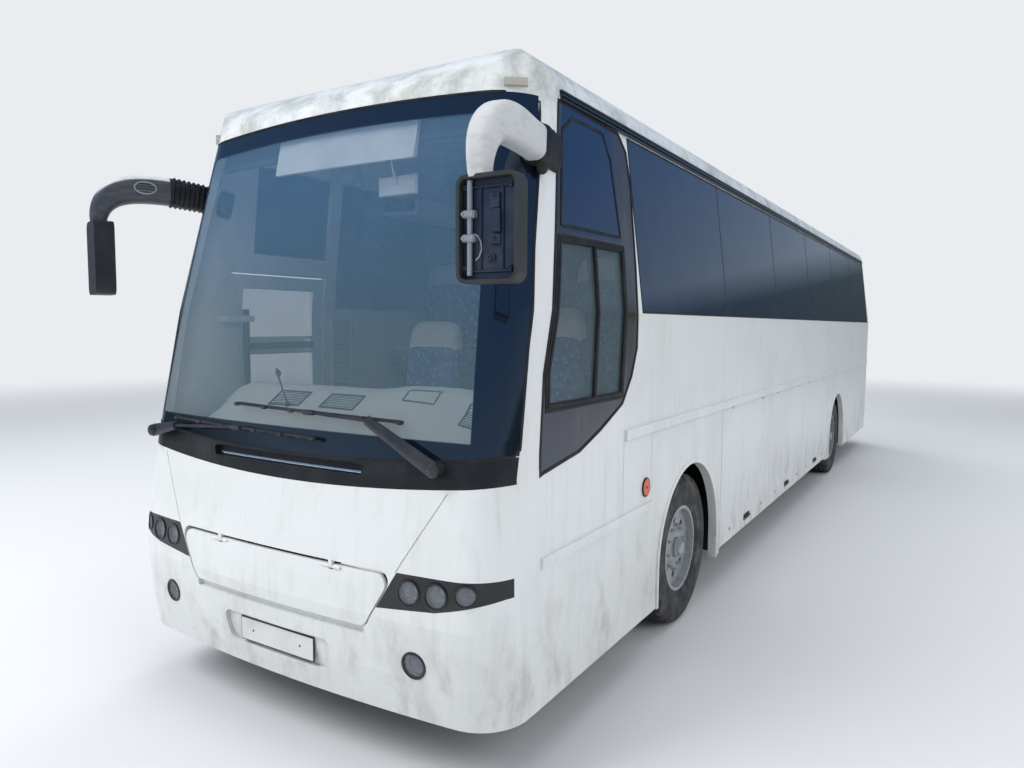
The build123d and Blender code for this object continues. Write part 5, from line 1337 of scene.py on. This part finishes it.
stageLook = {
    "pale": rgb(0.70, 0.71, 0.73), "reach": 60.0, "fade": (11.0, 26.0), "backdrop": rgb(0.82, 0.84, 0.87),
    "worldStrength": 0.55, "softLight": rgb(0.86, 0.90, 0.96),
    # what glass and metal mirror, from the horizon up
    "sky": ((0.0, rgb(0.55, 0.57, 0.58)), (0.02, rgb(0.10, 0.13, 0.12)), (0.09, rgb(0.14, 0.19, 0.20)),
            (0.13, rgb(0.62, 0.76, 0.92)), (0.32, rgb(0.26, 0.48, 0.86)), (1.0, rgb(0.12, 0.30, 0.70))),
}


def makeFloor():
    # fades into the backdrop far from the bus
    r = Recipe("paleFloor")
    far = r.add("ShaderNodeVectorMath", {"operation": "LENGTH"}, {0: r.place},
                "Value").ramp(*stageLook["fade"])
    seen = r.add("ShaderNodeLightPath", {}, {}, "Is Camera Ray")
    near = r.surface(Base_Color=stageLook["pale"], Roughness=0.85)
    backdrop = r.add("ShaderNodeEmission", {}, {"Color": stageLook["backdrop"], "Strength": 1.0})
    return r.close(r.add("ShaderNodeMixShader", {}, {0: far * seen, 1: near, 2: backdrop}))


def makeWorld():
    # pale to the eye, with a blue sky over a dark horizon in what mirrors it
    r = Recipe("paleWorld", bpy.data.worlds.new("paleWorld"), "Generated")
    strength = stageLook["worldStrength"]
    sky = r.add("ShaderNodeValToRGB", {"stops": stageLook["sky"]}, {"Fac": r.axis("Z")})
    glossy = r.add("ShaderNodeLightPath", {}, {}, "Is Glossy Ray")
    seen = r.add("ShaderNodeLightPath", {}, {}, "Is Camera Ray")
    backdrop = rgb(*(value / strength for value in stageLook["backdrop"][:3]))
    colour = r.mix(seen, r.mix(glossy, stageLook["softLight"], sky), backdrop)
    light = r.add("ShaderNodeBackground", {}, {"Color": colour, "Strength": strength})
    return r.close(light, "ShaderNodeOutputWorld")


floorMesh = bpy.data.meshes.new("floorMesh")
reach = stageLook["reach"]
floorMesh.from_pydata([(x, y, 0) for x, y in boxOf(-reach, reach, -reach, reach)], [], [(0, 1, 2, 3)])
stageFloor = bpy.data.objects.new("stageFloor", floorMesh)
bpy.context.scene.collection.objects.link(stageFloor)
floorMesh.materials.append(makeFloor())
bpy.context.scene.world = makeWorld()

lampTable = (
    # name, place, size, watts
    ("keyLamp", (-6.0, -13.0, 11.0), 8.0, 1500.0),
    ("sideLamp", (13.0, -7.0, 9.0), 9.0, 650.0),
    ("topLamp", (0.0, 1.0, 14.0), 14.0, 900.0),
    ("backLamp", (-8.0, 13.0, 9.0), 9.0, 700.0),
)
lampAim = Vector((0, -2, 1))
for name, place, size, watts in lampTable:
    data = bpy.data.lights.new(name, "AREA")
    data.size, data.energy = size, watts
    lamp = bpy.data.objects.new(name, data)
    lamp.location = place
    lamp.visible_glossy = False
    lamp.rotation_mode = "QUATERNION"
    lamp.rotation_quaternion = (Vector(place) - lampAim).to_track_quat("Z", "Y")
    bpy.context.scene.collection.objects.link(lamp)

# the photograph's camera, solved from the bus's own edges
cameraFit = {
    "place": (2.905, along(-2.413), 2.072), "right": (0.84873, 0.5288, 0.00586),
    "up": (-0.04709, 0.06453, 0.9968),
    "back": (0.52673, -0.84629, 0.07967), "lens": 26.15, "sensor": 36.0, "clip": (0.05, 200.0),
}
camData = bpy.data.cameras.new("photoCamera")
camData.lens, camData.sensor_width = cameraFit["lens"], cameraFit["sensor"]
camData.clip_start, camData.clip_end = cameraFit["clip"]
camera = bpy.data.objects.new("photoCamera", camData)
axes = Matrix([Vector(cameraFit[key]).normalized() for key in ("right", "up", "back")])
camera.matrix_world = Matrix.Translation(cameraFit["place"]) @ axes.transposed().to_4x4()
bpy.context.scene.collection.objects.link(camera)
bpy.context.scene.camera = camera
bpy.context.scene.view_settings.view_transform = "Standard"
print("stage, lamps and camera ready")
